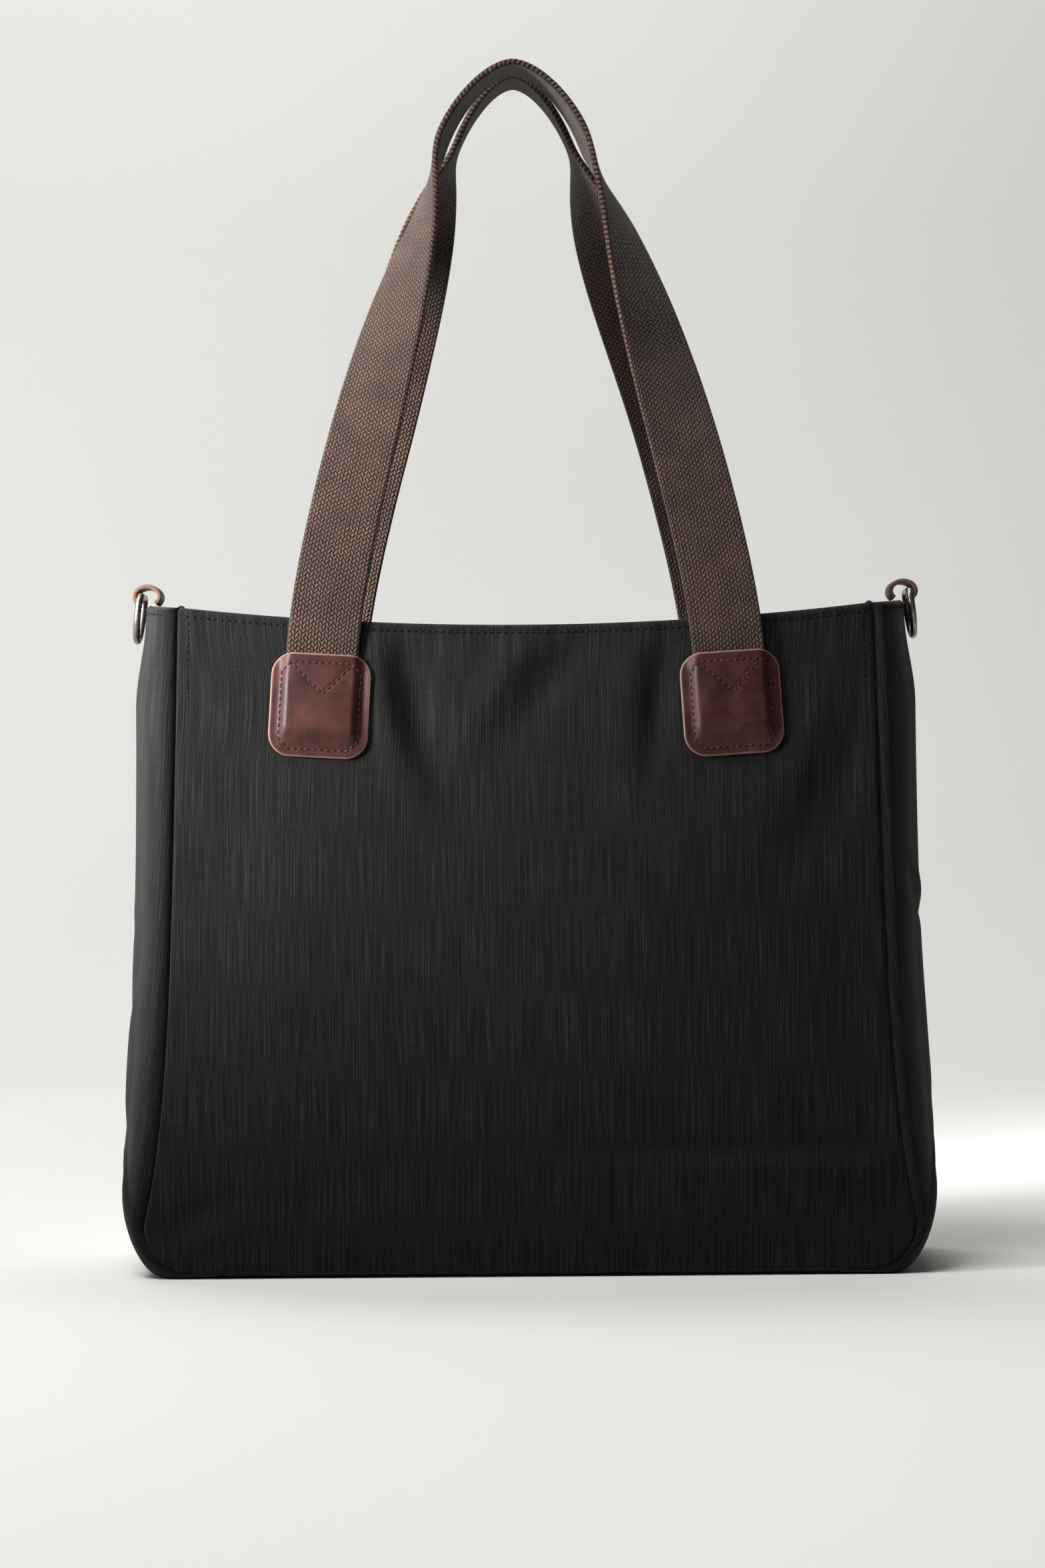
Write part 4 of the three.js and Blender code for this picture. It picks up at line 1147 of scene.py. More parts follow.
@dataclass
class InnerBag:
    """The facing under the rim, the lining, the slip pocket and their stitching.

    Attributes:
        layer: Depth of the lining's and facing's backs.
        facing: Thickness of the facing.
        lining: Thickness of the lining.
        facing_depth: Rim to the facing's lower edge.
        top_drop: Rim to the facing's upper edge.
        zip_half: Half the width of the part of the back wall that lies flat round the zip.
        snap_z: Middle of the part of both walls that lies flat round the snap.
    """

    layer: float = 4.2
    facing: float = 1.0
    lining: float = 0.6
    facing_depth: float = 45.0
    top_drop: float = 1.6
    zip_half: float = 92.0
    snap_z: float = 320.5

    def drape(self, where: Where, drops: Array, share: Array, depth: float, ripple: float) -> Array:
        """A grid inside a wall, in slow ripples but flat under its upper seam, by the zip and the snap.

        Args:
            where: Gives the wall's points by share across, place down and depth.
            drops: Places down the seam line.
            share: Shares across the wall.
            depth: Distance in from the outer surface.
            ripple: How far the ripples stand off the wall.

        Returns:
            The grid, with a last axis of 3.
        """
        down, across = np.meshgrid(drops, share, indexing="ij")
        wave = np.sin(across * 9.0 + down * 4.0) * np.sin(down * 7.0 - across * 3.0 + 1.0)
        plain = where(across, down, np.full_like(down, depth))
        on_face = 20.0
        zip_far = (plain[..., 0] / self.zip_half) ** 8 + ((plain[..., 2] - ZIP_Z) / 20.0) ** 8
        edge = smooth((1.0 - np.abs(across)) * 10.0) * (1.0 - np.exp(-zip_far) * (plain[..., 1] > on_face))
        hang = smooth((down - drops[0] - 0.014) * 12.0)
        deep = depth + ripple * (0.5 + 0.5 * wave) * edge * hang
        grid = where(across, down, deep)
        x, z = grid[..., 0], grid[..., 2]
        snap_far = (x / 18.0) ** 4 + ((z - self.snap_z) / 18.0) ** 4
        for face, far in ((Face.FRONT, snap_far), (Face.BACK, np.minimum(snap_far, zip_far))):
            fold = face.value * FORM.folds_at(face, x, z) * np.exp(-far)
            grid[..., 1] -= fold * (face.value * grid[..., 1] > on_face)
        return grid

    def wall(self, name: str, where: Where, rows: Array, half: float,
             depth: float, thickness: float, ripple: float, outward: Array) -> bpy.types.Object:
        """Makes one wall of facing or lining from its visible inner surface outwards."""
        share = clustered(half, (0.0, 1.0, 3.0, 6.0), 4.5) / half
        grid = self.drape(where, rows, share, depth, ripple)
        run = run_lengths(grid[:, len(share) // 2])
        flat = np.stack(np.broadcast_arrays(share[None, :] * half, -run[:, None]), -1)
        return closed_sheet(name, grid, thickness, outward, flat)

    def build(self) -> None:
        """Makes the walls, the floor of the lining and the pocket."""
        upper = FORM.drop(np.concatenate([[self.top_drop, 2.2, 3.0],
                                          np.linspace(4.0, self.facing_depth, 14)]))
        start = float(FORM.drop(self.facing_depth - 3.0))
        lower = np.concatenate([np.linspace(start, 1.0, 56), np.linspace(1.0, 2.0, 9)[1:]])
        under = np.concatenate([lower, np.linspace(2.0, 3.0, 9)[1:]])
        walls: list[tuple[str, Where, float, Array, Array]] = []
        for face in Face:
            walls.append((face.word, lambda a, s, d, f=face: FORM.face_point(f, a, s, d), 200.0,
                          lower, np.array([0.0, face.value, 0.0])))
        for hand in Hand:
            walls.append((hand.word, lambda a, s, d, h=hand: FORM.gusset_point(h, a, s, d), 58.0,
                          under, np.array([hand.value, 0.0, 0.0])))
        for name, where, half, rows, outward in walls:
            facing = self.wall(f"{name}_facing", where, upper, half, self.layer + self.facing,
                               self.facing, 0.0, outward)
            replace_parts(CANVAS.wear(facing), f"facing_{name}")
            lining = self.wall(f"{name}_lining", where, rows, half, self.layer + self.lining,
                               self.lining, 1.2, outward)
            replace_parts(LINING.wear(lining), f"lining_{name}")
            on_bag(facing)
            on_bag(lining)
        on_bag(self.floor())
        on_bag(self.pocket())
        self.sew()

    def floor(self) -> bpy.types.Object:
        """Lays the lining's floor over the board, with soft ripples."""
        edge = float(FORM.seam_half_depth(np.array(FORM.seam_lift))) - self.layer - FORM.seam_gap
        y, x = np.meshgrid(np.linspace(-edge, edge, 40), np.linspace(-162.7, 162.7, 90), indexing="ij")
        lift = FORM.seam_lift * smooth(1.0 - (edge - np.abs(y)) / 9.0)
        ripple = 0.5 + 0.5 * np.sin(x / 21.0 + y / 13.0) * np.sin(y / 17.0 - x / 40.0)
        inside = smooth((edge - np.abs(y)) / 10.0) * smooth((162.7 - np.abs(x)) / 10.0)
        grid = np.stack([x, y, self.layer + self.lining + lift + ripple * inside], -1)
        piece = closed_sheet("lining_floor", grid, self.lining, np.array([0.0, 0.0, -1.0]),
                             np.stack([x, y], -1))
        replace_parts(LINING.wear(piece), "lining_base")
        return piece

    def pocket(self) -> bpy.types.Object:
        """Hangs the slip pocket on the front lining, its mouth folded and slack in the middle."""
        top, height, width = 281.5, 130.0, 160.0
        z = np.concatenate([[top - 9.0], np.linspace(top, top - height, 44)])
        x = np.linspace(-width / 2.0, width / 2.0, 56)
        down, across = np.meshgrid(z, x, indexing="ij")
        slack = 2.0 * smooth((down - top + 60.0) / 60.0) * np.cos(np.pi * across / width) ** 2
        depth = self.layer + self.lining + 2.2 + slack
        depth[0] -= 0.9
        grid = np.stack([across, -(FORM.half_depth(across, down) - depth), down - 0.4 * slack], -1)
        piece = closed_sheet("inner_slip_pocket", grid, self.lining, np.array([0.0, -1.0, 0.0]),
                             np.stack([across, down], -1))
        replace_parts(LINING.wear(piece), "slip_pocket")
        return piece

    def sew(self) -> None:
        """Sews the topstitching as it shows on the facing."""
        for face in Face:
            share = np.linspace(-0.97, 0.97, 200)
            s = np.full_like(share, float(FORM.drop(5.0)))
            line = FORM.face_point(face, share, s, np.full_like(share, self.layer + self.facing))
            inward = np.broadcast_to([0.0, -face.value, 0.0], line.shape)
            row = stitch_row(f"inner_topstitch_{face.word}", line, inward, 3.7, 2.7, 0.75)
            on_bag(BLACK_THREAD.wear(row))


# ---- Zip and magnetic snap -----------------------------------------------------------------------


def turned_piece(name: str, place: Array, axis: Array, outline: Array, power: float = 2.0,
                 stretch: float = 1.0) -> bpy.types.Object:
    """Turns an outline about an axis: rings |u|^power + |v|^power = radius^power at each height.

    Args:
        name: The piece's name.
        place: Where the outline's height 0 lies.
        axis: The unit vector of its heights, square to X.
        outline: (n, 2) pairs of radius and height.
        power: 2 for round rings, more for squarer ones.
        stretch: Width along X over the width across it.

    Returns:
        The new object.
    """
    turn = np.linspace(0.0, 2.0 * np.pi, 40, endpoint=False)
    ring = np.stack([stretch * np.sign(np.cos(turn)) * np.abs(np.cos(turn)) ** (2.0 / power),
                     np.sign(np.sin(turn)) * np.abs(np.sin(turn)) ** (2.0 / power)], -1)
    path = place + outline[:, 1:] * axis
    across = np.broadcast_to([1.0, 0.0, 0.0], path.shape)
    out = np.broadcast_to(np.cross(axis, [1.0, 0.0, 0.0]), path.shape)
    return swept(name, path, across, out, outline[:, :1, None] * ring[None])


@dataclass
class Fastenings:
    """The zip on the back lining and the magnetic snap on the two facings.

    Attributes:
        zip_z: Height of the zip's middle.
        zip_layer: Depth of the tape's back.
        tape: Thickness of the tape.
        zip_half: Half the tape's length.
        snap_z: Height of the snap's middle.
        snap_y: Middle of the bag to the back of the snap's plates.
        lean: How far the walls lean, in radians.
        slider_x: Where the slider stands on the coil.
    """

    zip_z: float = ZIP_Z
    zip_layer: float = 5.3
    zip_half: float = 75.0
    tape: float = 0.8
    snap_z: float = 320.46
    snap_y: float = 52.32
    lean: float = 0.089
    slider_x: float = -62.0

    def on_wall(self, x: Array, z: Array, depth: Array) -> Array:
        """Returns points on the back wall at a depth in from its outer surface."""
        return np.stack([x, FORM.half_depth(x, z) - depth, z], -1)

    def tapes(self) -> None:
        """Lays the tape, a little raised along the coil, with a row of stitches near each edge."""
        z, x = np.meshgrid(self.zip_z + np.linspace(-11.0, 11.0, 25),
                           np.linspace(-self.zip_half, self.zip_half, 60), indexing="ij")
        ridge = 0.35 * np.exp(-(((z - self.zip_z) / 2.6) ** 2))
        grid = self.on_wall(x, z, self.zip_layer + self.tape + ridge)
        sheet = closed_sheet("zip_tape_cloth", grid, self.tape, np.array([0.0, 1.0, 0.0]),
                             np.stack([x, z], -1))
        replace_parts(ZIP_TAPE.wear(sheet), "zip_tape")
        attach(sheet, "bag")
        inward = np.array([0.0, -1.0, 0.0])
        at = np.linspace(-72.5, 72.5, 120)
        for label, rise in (("upper", 8.6), ("lower", -8.6)):
            line = self.on_wall(at, np.full_like(at, self.zip_z + rise),
                                np.full_like(at, self.zip_layer + 0.85))
            row = stitch_row(f"zip_stitching_{label}", line, np.broadcast_to(inward, line.shape),
                             2.9, 2.1, 0.5)
            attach(BLACK_THREAD.wear(row), "bag")
        at = np.linspace(-71.0, 71.0, 160)
        line = self.on_wall(at, np.full_like(at, self.zip_z), np.full_like(at, self.zip_layer + 1.7))
        coil = stitch_row("zip_coil_turns", line, np.broadcast_to(inward, line.shape), 1.05, 3.3, 1.3, 0.5,
                          across=True, stagger=0.9)
        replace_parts(NYLON.wear(coil), "zip_coil")
        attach(coil, "bag")

    def slider(self) -> None:
        """Makes the slider: a soft-cornered body with a bridge, and a ring-headed pull that hangs from it."""
        inward = np.array([0.0, -math.cos(self.lean), -math.sin(self.lean)])
        down = np.array([0.0, math.sin(self.lean), -math.cos(self.lean)])
        middle = np.array([self.slider_x, 51.95, self.zip_z - 0.1])
        side = np.array([[3.2, -1.0], [3.9, -0.7], [4.0, 0.0], [3.9, 0.6], [3.2, 0.9]])
        body = turned_piece("body", middle, inward, side, 4.0, 1.12)
        turn = np.linspace(-0.2, np.pi + 0.2, 20)
        rise = 0.7 + np.sin(turn) * 0.9
        arch = middle + np.outer(np.cos(turn) * 2.6, [1.0, 0.0, 0.0]) + np.outer(rise, inward)
        along = unit(np.gradient(arch, axis=0))
        out = np.broadcast_to(down, arch.shape)
        bridge = swept("bridge", arch, np.cross(out, along), out, round_profile(0.45, 10) * [1.0, 2.2])
        slider = joined("zip_slider_cast", [body, bridge])
        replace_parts(NICKEL.wear(slider), "zip_slider")
        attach(slider, "zip_slider")
        head = np.array([self.slider_x, 49.4, 278.6])
        ring = np.linspace(0.0, 2.0 * np.pi, 32, endpoint=False)
        loop = head + np.outer(np.cos(ring) * 1.8, [1.0, 0.0, 0.0]) - np.outer(np.sin(ring) * 2.0, down)
        ahead = unit(np.roll(loop, -1, 0) - np.roll(loop, 1, 0))
        out = np.broadcast_to(inward, loop.shape)
        eye = swept("eye", loop, np.cross(out, ahead), out, round_profile(0.58, 12), closed=True)
        run = np.linspace(0.0, 1.0, 24)
        path = head + np.outer(1.9 + 19.3 * run, down)
        ends = np.sqrt(np.maximum(1.0 - (2.0 * np.abs(run - 0.5)) ** 14, 0.08))
        wide = (1.1 + 1.35 * smooth(run * 2.2)) * ends
        outline = np.stack([np.cos(ring), np.sin(ring)], -1)
        outline = np.sign(outline) * np.abs(outline) ** 0.5
        across = np.broadcast_to([1.0, 0.0, 0.0], path.shape)
        blade = swept("blade", path, across, np.broadcast_to(inward, path.shape),
                      outline[None] * np.stack([wide, np.full_like(wide, 0.55)], -1)[:, None])
        pull = joined("zip_pull_cast", [eye, blade])
        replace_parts(NICKEL.wear(pull), "zip_pull")
        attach(pull, "zip_pull")

    def snap(self) -> None:
        """Turns the snap's socket and stud: a rimmed plate with a well, and one with a boss."""
        plate = [[0.0, 0.0], [8.6, 0.0], [9.0, 0.4], [9.0, 0.9], [8.7, 1.35], [8.0, 1.7], [7.2, 1.8],
                 [6.2, 1.72], [5.6, 1.5], [5.2, 1.5], [4.8, 1.75], [4.2, 1.8]]
        well = [[3.8, 1.75], [3.6, 1.5], [3.5, 0.7], [0.0, 0.6]]
        boss = [[3.6, 1.85], [3.4, 2.1], [3.4, 3.1], [3.0, 3.5], [2.2, 3.6], [0.0, 3.6]]
        middles = {"socket": (Face.FRONT, well), "stud": (Face.BACK, boss)}
        for name, (face, middle) in middles.items():
            axis = np.array([0.0, -face.value * math.cos(self.lean), -math.sin(self.lean)])
            place = np.array([0.0, face.value * self.snap_y, self.snap_z])
            piece = turned_piece(f"snap_{name}_turned", place, axis, np.array(plate + middle))
            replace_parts(NICKEL.wear(piece), f"snap_{name}")
            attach(piece, "bag")

    def build(self) -> None:
        """Makes the zip and the snap."""
        self.tapes()
        self.slider()
        self.snap()
        LOG.info("fastenings")


# ---- Strap patches -------------------------------------------------------------------------------


@dataclass(frozen=True)
class PatchPlace:
    """Where a strap patch lies: its middle and its tilted axes on a face."""

    face: Face
    leg: Hand

    def on_face(self, across: Array, up: Array, lift: Array) -> Array:
        """Returns points of the face at places of the patch's own axes, lifted off the cloth."""
        lean, leg = math.radians(STRAP_TILT), self.leg.value
        x = leg * STRAP_X + across * math.cos(lean) - up * leg * math.sin(lean)
        z = STRAP_Z + across * leg * math.sin(lean) + up * math.cos(lean)
        y = FORM.half_depth(x, z) + FORM.folds_at(self.face, x, z) + lift
        return np.stack([x, self.face.value * y, z], -1)


@dataclass
class StrapPatch:
    """A leather patch with rounded corners, raised over the webbing's end, and its saddle stitching.

    Attributes:
        place: Where the patch lies.
        half_width: Half its width.
        half_height: Half its height.
        radius: Radius of its corners.
        leather: Thickness of the leather.
        lift: How far the webbing's end raises it.
    """

    place: PatchPlace
    half_width: float = 26.5
    half_height: float = 27.5
    radius: float = 12.0
    leather: float = 2.0
    lift: float = 3.6

    def outline_distance(self, across: Array, up: Array) -> Array:
        """Distance in from the rounded outline."""
        corner = np.stack([np.abs(across) - self.half_width + self.radius,
                           np.abs(up) - self.half_height + self.radius], -1)
        outside = np.linalg.norm(np.maximum(corner, 0.0), axis=-1)
        return self.radius - outside - np.minimum(corner.max(-1), 0.0)

    def seam(self) -> Array:
        """The stitched line as (across, up): a square with cut corners, then the V from its top corners."""
        w, top, foot, cut = self.half_width - 5.4, self.half_height - 4.9, self.half_height - 4.2, 5.2
        return np.array([[-w + cut, top], [w - cut, top], [w, top - cut], [w, -foot + cut], [w - cut, -foot],
                         [-w + cut, -foot], [-w, -foot + cut], [-w, top - cut], [-w + cut, top]])

    def vee(self) -> Array:
        """The V of stitches that points down from the top corners."""
        w, top, cut = self.half_width - 5.4, self.half_height - 4.9, 5.2
        return np.array([[-w + cut + 0.6, top - 1.4], [1.2, top - 16.3], [w - cut - 0.6, top - 1.4]])

    def seam_distance(self, across: Array, up: Array) -> Array:
        """Distance to the nearest stitched line."""
        best = np.full(across.shape, 1e9)
        here = np.stack([across, up], -1)
        for line in (self.seam(), self.vee()):
            for a, b in zip(line[:-1], line[1:]):
                along = np.clip(((here - a) @ (b - a)) / ((b - a) @ (b - a)), 0.0, 1.0)
                best = np.minimum(best, np.linalg.norm(here - a - along[..., None] * (b - a), axis=-1))
        return best

    def height(self, across: Array, up: Array) -> Array:
        """Top of the leather over the cloth: skirt, the swell over the webbing, the sewn groove and edge."""
        side = smooth((self.half_width - 3.2 - np.abs(across)) / 6.6)
        foot = smooth((up + self.half_height - 3.2) / 13.0)
        swell = 1.0 + 0.22 * np.cos(np.pi * np.clip(across / 40.0, -0.5, 0.5))
        body = 0.4 + self.lift * side * foot * swell + self.leather
        groove = 0.36 * np.exp(-((self.seam_distance(across, up) / 0.95) ** 2))
        edge = np.clip(1.0 - self.outline_distance(across, up) / 1.1, 0.0, 1.0)
        return body - groove - 0.9 * (1.0 - np.sqrt(np.maximum(1.0 - edge**2, 0.0)))

    def build(self) -> list[bpy.types.Object]:
        """Makes the patch, its stitching and the felt backer behind the canvas."""
        bend = np.linspace(0.0, np.pi / 2.0, 15)
        corner = self.half_height - self.radius * (1.0 - np.sin(bend))
        ups = np.concatenate([-corner[::-1], np.linspace(-corner[0], corner[0], 46)[1:-1], corner])
        past = np.maximum(0.0, np.abs(ups) - self.half_height + self.radius)
        reach = self.half_width - self.radius + np.sqrt(np.maximum(0.0, self.radius**2 - past**2))
        share = clustered(1.0, (0.0, 0.006, 0.014, 0.026, 0.045, 0.07), 0.024)
        across = share[None, :] * reach[:, None]
        up = np.broadcast_to(ups[:, None], across.shape)
        top = self.place.on_face(across, up, self.height(across, up))
        back = self.place.on_face(across, up, self.height(across, up) - self.leather * 0.95)
        name = f"{self.place.face.word}_{self.place.leg.word}"
        patch = closed_between(f"strap_patch_leather_{name}", top, back)
        edge = np.clip(1.0 - self.outline_distance(across, up) / 0.9, 0.0, 1.0).ravel()
        patch.data.attributes.new("edge", "FLOAT", "POINT").data.foreach_set(
            "value", np.concatenate([edge, edge]).astype(np.float32) * 0.75)
        HIDE.wear(patch)
        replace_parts(patch, f"strap_patch_{name}")
        rows_made = [self.sewn(line, label) for line, label in ((self.seam(), "seam"), (self.vee(), "vee"))]
        thread = BROWN_THREAD.wear(joined(f"strap_patch_stitching_{name}", rows_made))
        inner = self.place.on_face(across * 0.85, up * 0.85, np.full_like(across, -3.5))
        backer = closed_sheet(f"strap_backer_felt_{name}", inner, 1.5,
                              np.array([0.0, self.place.face.value, 0.0]))
        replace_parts(BACKING.wear(backer), f"strap_backer_{name}")
        return [patch, thread, backer]

    def sewn(self, line: Array, label: str) -> bpy.types.Object:
        """Sews along a line of the patch's own axes."""
        run = run_lengths(np.pad(line, ((0, 0), (0, 1))))
        at = np.linspace(0.0, run[-1], 220)
        across, up = np.interp(at, run, line[:, 0]), np.interp(at, run, line[:, 1])
        path = self.place.on_face(across, up, self.height(across, up) + 0.05)
        out = np.broadcast_to([0.0, self.place.face.value, 0.0], path.shape)
        return stitch_row(label, path, out, 3.5, 2.7, 0.95, sink=0.3)


# ---- Handles -------------------------------------------------------------------------------------


@dataclass
class Handle:
    """One webbing handle: its two sewn-down ends, two legs with a quarter twist each, and its flat top.

    Attributes:
        face: The face that it is sewn to.
        crown_half_width: Half the width of its top at the shoulders.
        turn_end: Share of the way up at which the quarter twist is done.
        turn_power: How late the twist comes: 1 for an even one.
        over_turn: How much further than a quarter the strap turns, as a share of it.
        slant: Share of the sideways lean that grows evenly from the feet.
        lean_from: Height, as a share of the rise, at which the rest of the lean starts.
        lean_over: The share of the rise that it takes.
        width: Width of the webbing.
        thickness: Thickness of the webbing.
        rise: Feet to the top's middle line.
        gather: Middle of the bag to the top.
        lean: How far the top stands aside, towards +X.
        crown_height: Shoulders to the top.
        slope: Degrees that the legs lean in at the shoulders.
        step: Spacing of the sections.
    """

    face: Face
    crown_half_width: float
    turn_end: float
    turn_power: float
    over_turn: float
    slant: float
    lean_from: float
    lean_over: float
    width: float = 38.0
    thickness: float = 3.4
    rise: float = 316.0
    gather: float = 20.6
    lean: float = -4.7
    crown_height: float = 42.0
    slope: float = 18.0
    step: float = 0.9

    def foot(self) -> Array:
        """Where the right leg's middle line leaves its patch, on the front."""
        lean, up = math.radians(STRAP_TILT), 27.9
        x, z = STRAP_X - up * math.sin(lean), STRAP_Z + up * math.cos(lean)
        return np.array([x, -FORM.half_depth(np.array(x), np.array(z)) - 0.8 - self.thickness / 2.0, z])

    @staticmethod
    def bezier(points: Sequence[Array], t: Array) -> tuple[Array, Array]:
        """Returns a cubic curve's points and unit tangents."""
        a, b, c, d = (np.asarray(p)[None] for p in points)
        t = t[:, None]
        at = a * (1 - t) ** 3 + 3 * b * t * (1 - t) ** 2 + 3 * c * t**2 * (1 - t) + d * t**3
        along = 3 * (b - a) * (1 - t) ** 2 + 6 * (c - b) * t * (1 - t) + 3 * (d - c) * t**2
        return at, unit(along)

    def half_path(self) -> tuple[Array, Array, Array]:
        """The right half from the leg's foot to the top: places, across vectors and out vectors.

        At a share u of the way up the strap has turned by 90 degrees times the lesser of
        (u / turn_end)^turn_power and a cap that falls back to 1 at the top, with a soft corner between.
        """
        foot = self.foot()
        top = np.array([0.0, -self.gather, foot[2] + self.rise])
        shoulder = np.array([self.crown_half_width, -self.gather, top[2] - self.crown_height])
        length = float(np.linalg.norm(shoulder - foot))
        low, high = (np.array([-math.sin(lean), 0.0, math.cos(lean)])
                     for lean in (math.radians(STRAP_TILT), math.radians(self.slope)))
        leg = [foot, foot + low * length / 5.0, shoulder - high * length / 3.0, shoulder]
        crown = [shoulder, shoulder + high * self.crown_height / 2.0,
                 top + np.array([self.crown_half_width * 0.37, 0.0, -0.8]), top]
        legs, leg_along = self.bezier(leg, np.linspace(0.0, 1.0, int(length / self.step)))
        tops, top_along = self.bezier(crown, np.linspace(0.0, 1.0, 70)[1:])
        path = np.concatenate([legs, tops])
        along = np.concatenate([leg_along, top_along])
        share = run_lengths(path)
        share = share / share[-1]
        cap = 1.0 + self.over_turn * (1.0 - share) / (1.0 - self.turn_end)
        rising = np.minimum((share / self.turn_end) ** self.turn_power, 3.0)
        soft = 18.0
        twist = -np.pi / 2.0 * np.log(np.exp(-soft * rising) + np.exp(-soft * cap)) / soft
        across = np.stack([-np.cos(twist), -np.sin(twist), np.zeros_like(twist)], -1)
        across = unit(across - along * np.sum(across * along, axis=1, keepdims=True))
        return path, across, np.cross(across, along)

    @staticmethod
    def pressed(up: Array) -> Array:
        """Share of its thickness that the webbing keeps under the stitches, down to its cut edge."""
        return lerp(0.3, 1.0, smooth((up + 19.5) / 17.0))

    def tail(self) -> tuple[Array, Array, Array]:
        """The sewn-down end below the right leg, from its cut edge up to the patch's top."""
        place = PatchPlace(Face.FRONT, Hand.RIGHT)
        up = np.arange(-19.5, 27.4, self.step)
        lift = lerp(0.5, 0.8, smooth((up - 10.0) / 17.0)) + self.pressed(up) * self.thickness / 2.0
        path = place.on_face(np.zeros_like(up), up, lift)
        lean = math.radians(STRAP_TILT)
        across = np.broadcast_to([-math.cos(lean), 0.0, -math.sin(lean)], path.shape)
        along = unit(np.gradient(path, axis=0))
        across = unit(across - along * np.sum(across * along, axis=1, keepdims=True))
        return path, across, np.cross(across, along)

    def build(self) -> bpy.types.Object:
        """Sweeps the webbing's section along the whole handle, both halves, and bends it at the patches."""
        parts = [np.concatenate(pair) for pair in zip(self.tail(), self.half_path())]
        flip = np.array([-1.0, 1.0, 1.0])
        path, across, out = (np.concatenate([part, (part * flip)[-2::-1]]) for part in parts)
        foot_z = self.foot()[2]
        run = run_lengths(path)
        profile = strip_profile(self.width, self.thickness, 16, 1.3)
        shape = np.broadcast_to(profile, (len(path), *profile.shape)).copy()
        rib = np.cos(2.0 * np.pi * run / 2.7)[:, None]
        near_edge = np.abs(profile[:, 0])[None] > self.width / 2.0 - 1.0
        shape[..., 0] += np.sign(profile[:, 0])[None] * near_edge * 0.07 * rib
        hollow = 0.35 * (profile[:, 0] / (self.width / 2.0)) ** 2
        away = smooth((path[:, 2] - foot_z) / 60.0)[:, None]
        slow = 0.2 * np.sin(run / 31.0) + 0.12 * np.sin(run / 17.0 + 2.0)
        low = np.array([-19.5, -14.0, -8.0, -2.5])
        kept = np.interp(path[:, 2], foot_z - 27.4 + low, self.pressed(low))
        shape[..., 1] = shape[..., 1] * kept[:, None] + away * (hollow[None] + slow[:, None] * 0.5)
        piece = swept(f"{self.face.word}_webbing_handle", path, across, out, shape, uv=True)
        count = len(piece.data.vertices)
        co = np.empty(count * 3, np.float64)
        piece.data.vertices.foreach_get("co", co)
        co = co.reshape(-1, 3)
        up = np.maximum(0.0, (co[:, 2] / MM - foot_z) / self.rise)
        late = smooth((up - self.lean_from) / self.lean_over)
        co[:, 0] += self.lean * MM * lerp(late, up, self.slant)
        co[:, 1] *= -self.face.value
        piece.data.vertices.foreach_set("co", co.ravel())
        if self.face is Face.BACK:
            piece.data.flip_normals()
        piece.data.update()
        WEBBING.wear(piece)
        name = self.face.word
        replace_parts(piece, f"{name}_handle", f"strap_tail_{name}_left", f"strap_tail_{name}_right")
        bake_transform(piece)
        LOG.info("handle: %s", piece.name)
        return piece


# ---- Side rings ----------------------------------------------------------------------------------


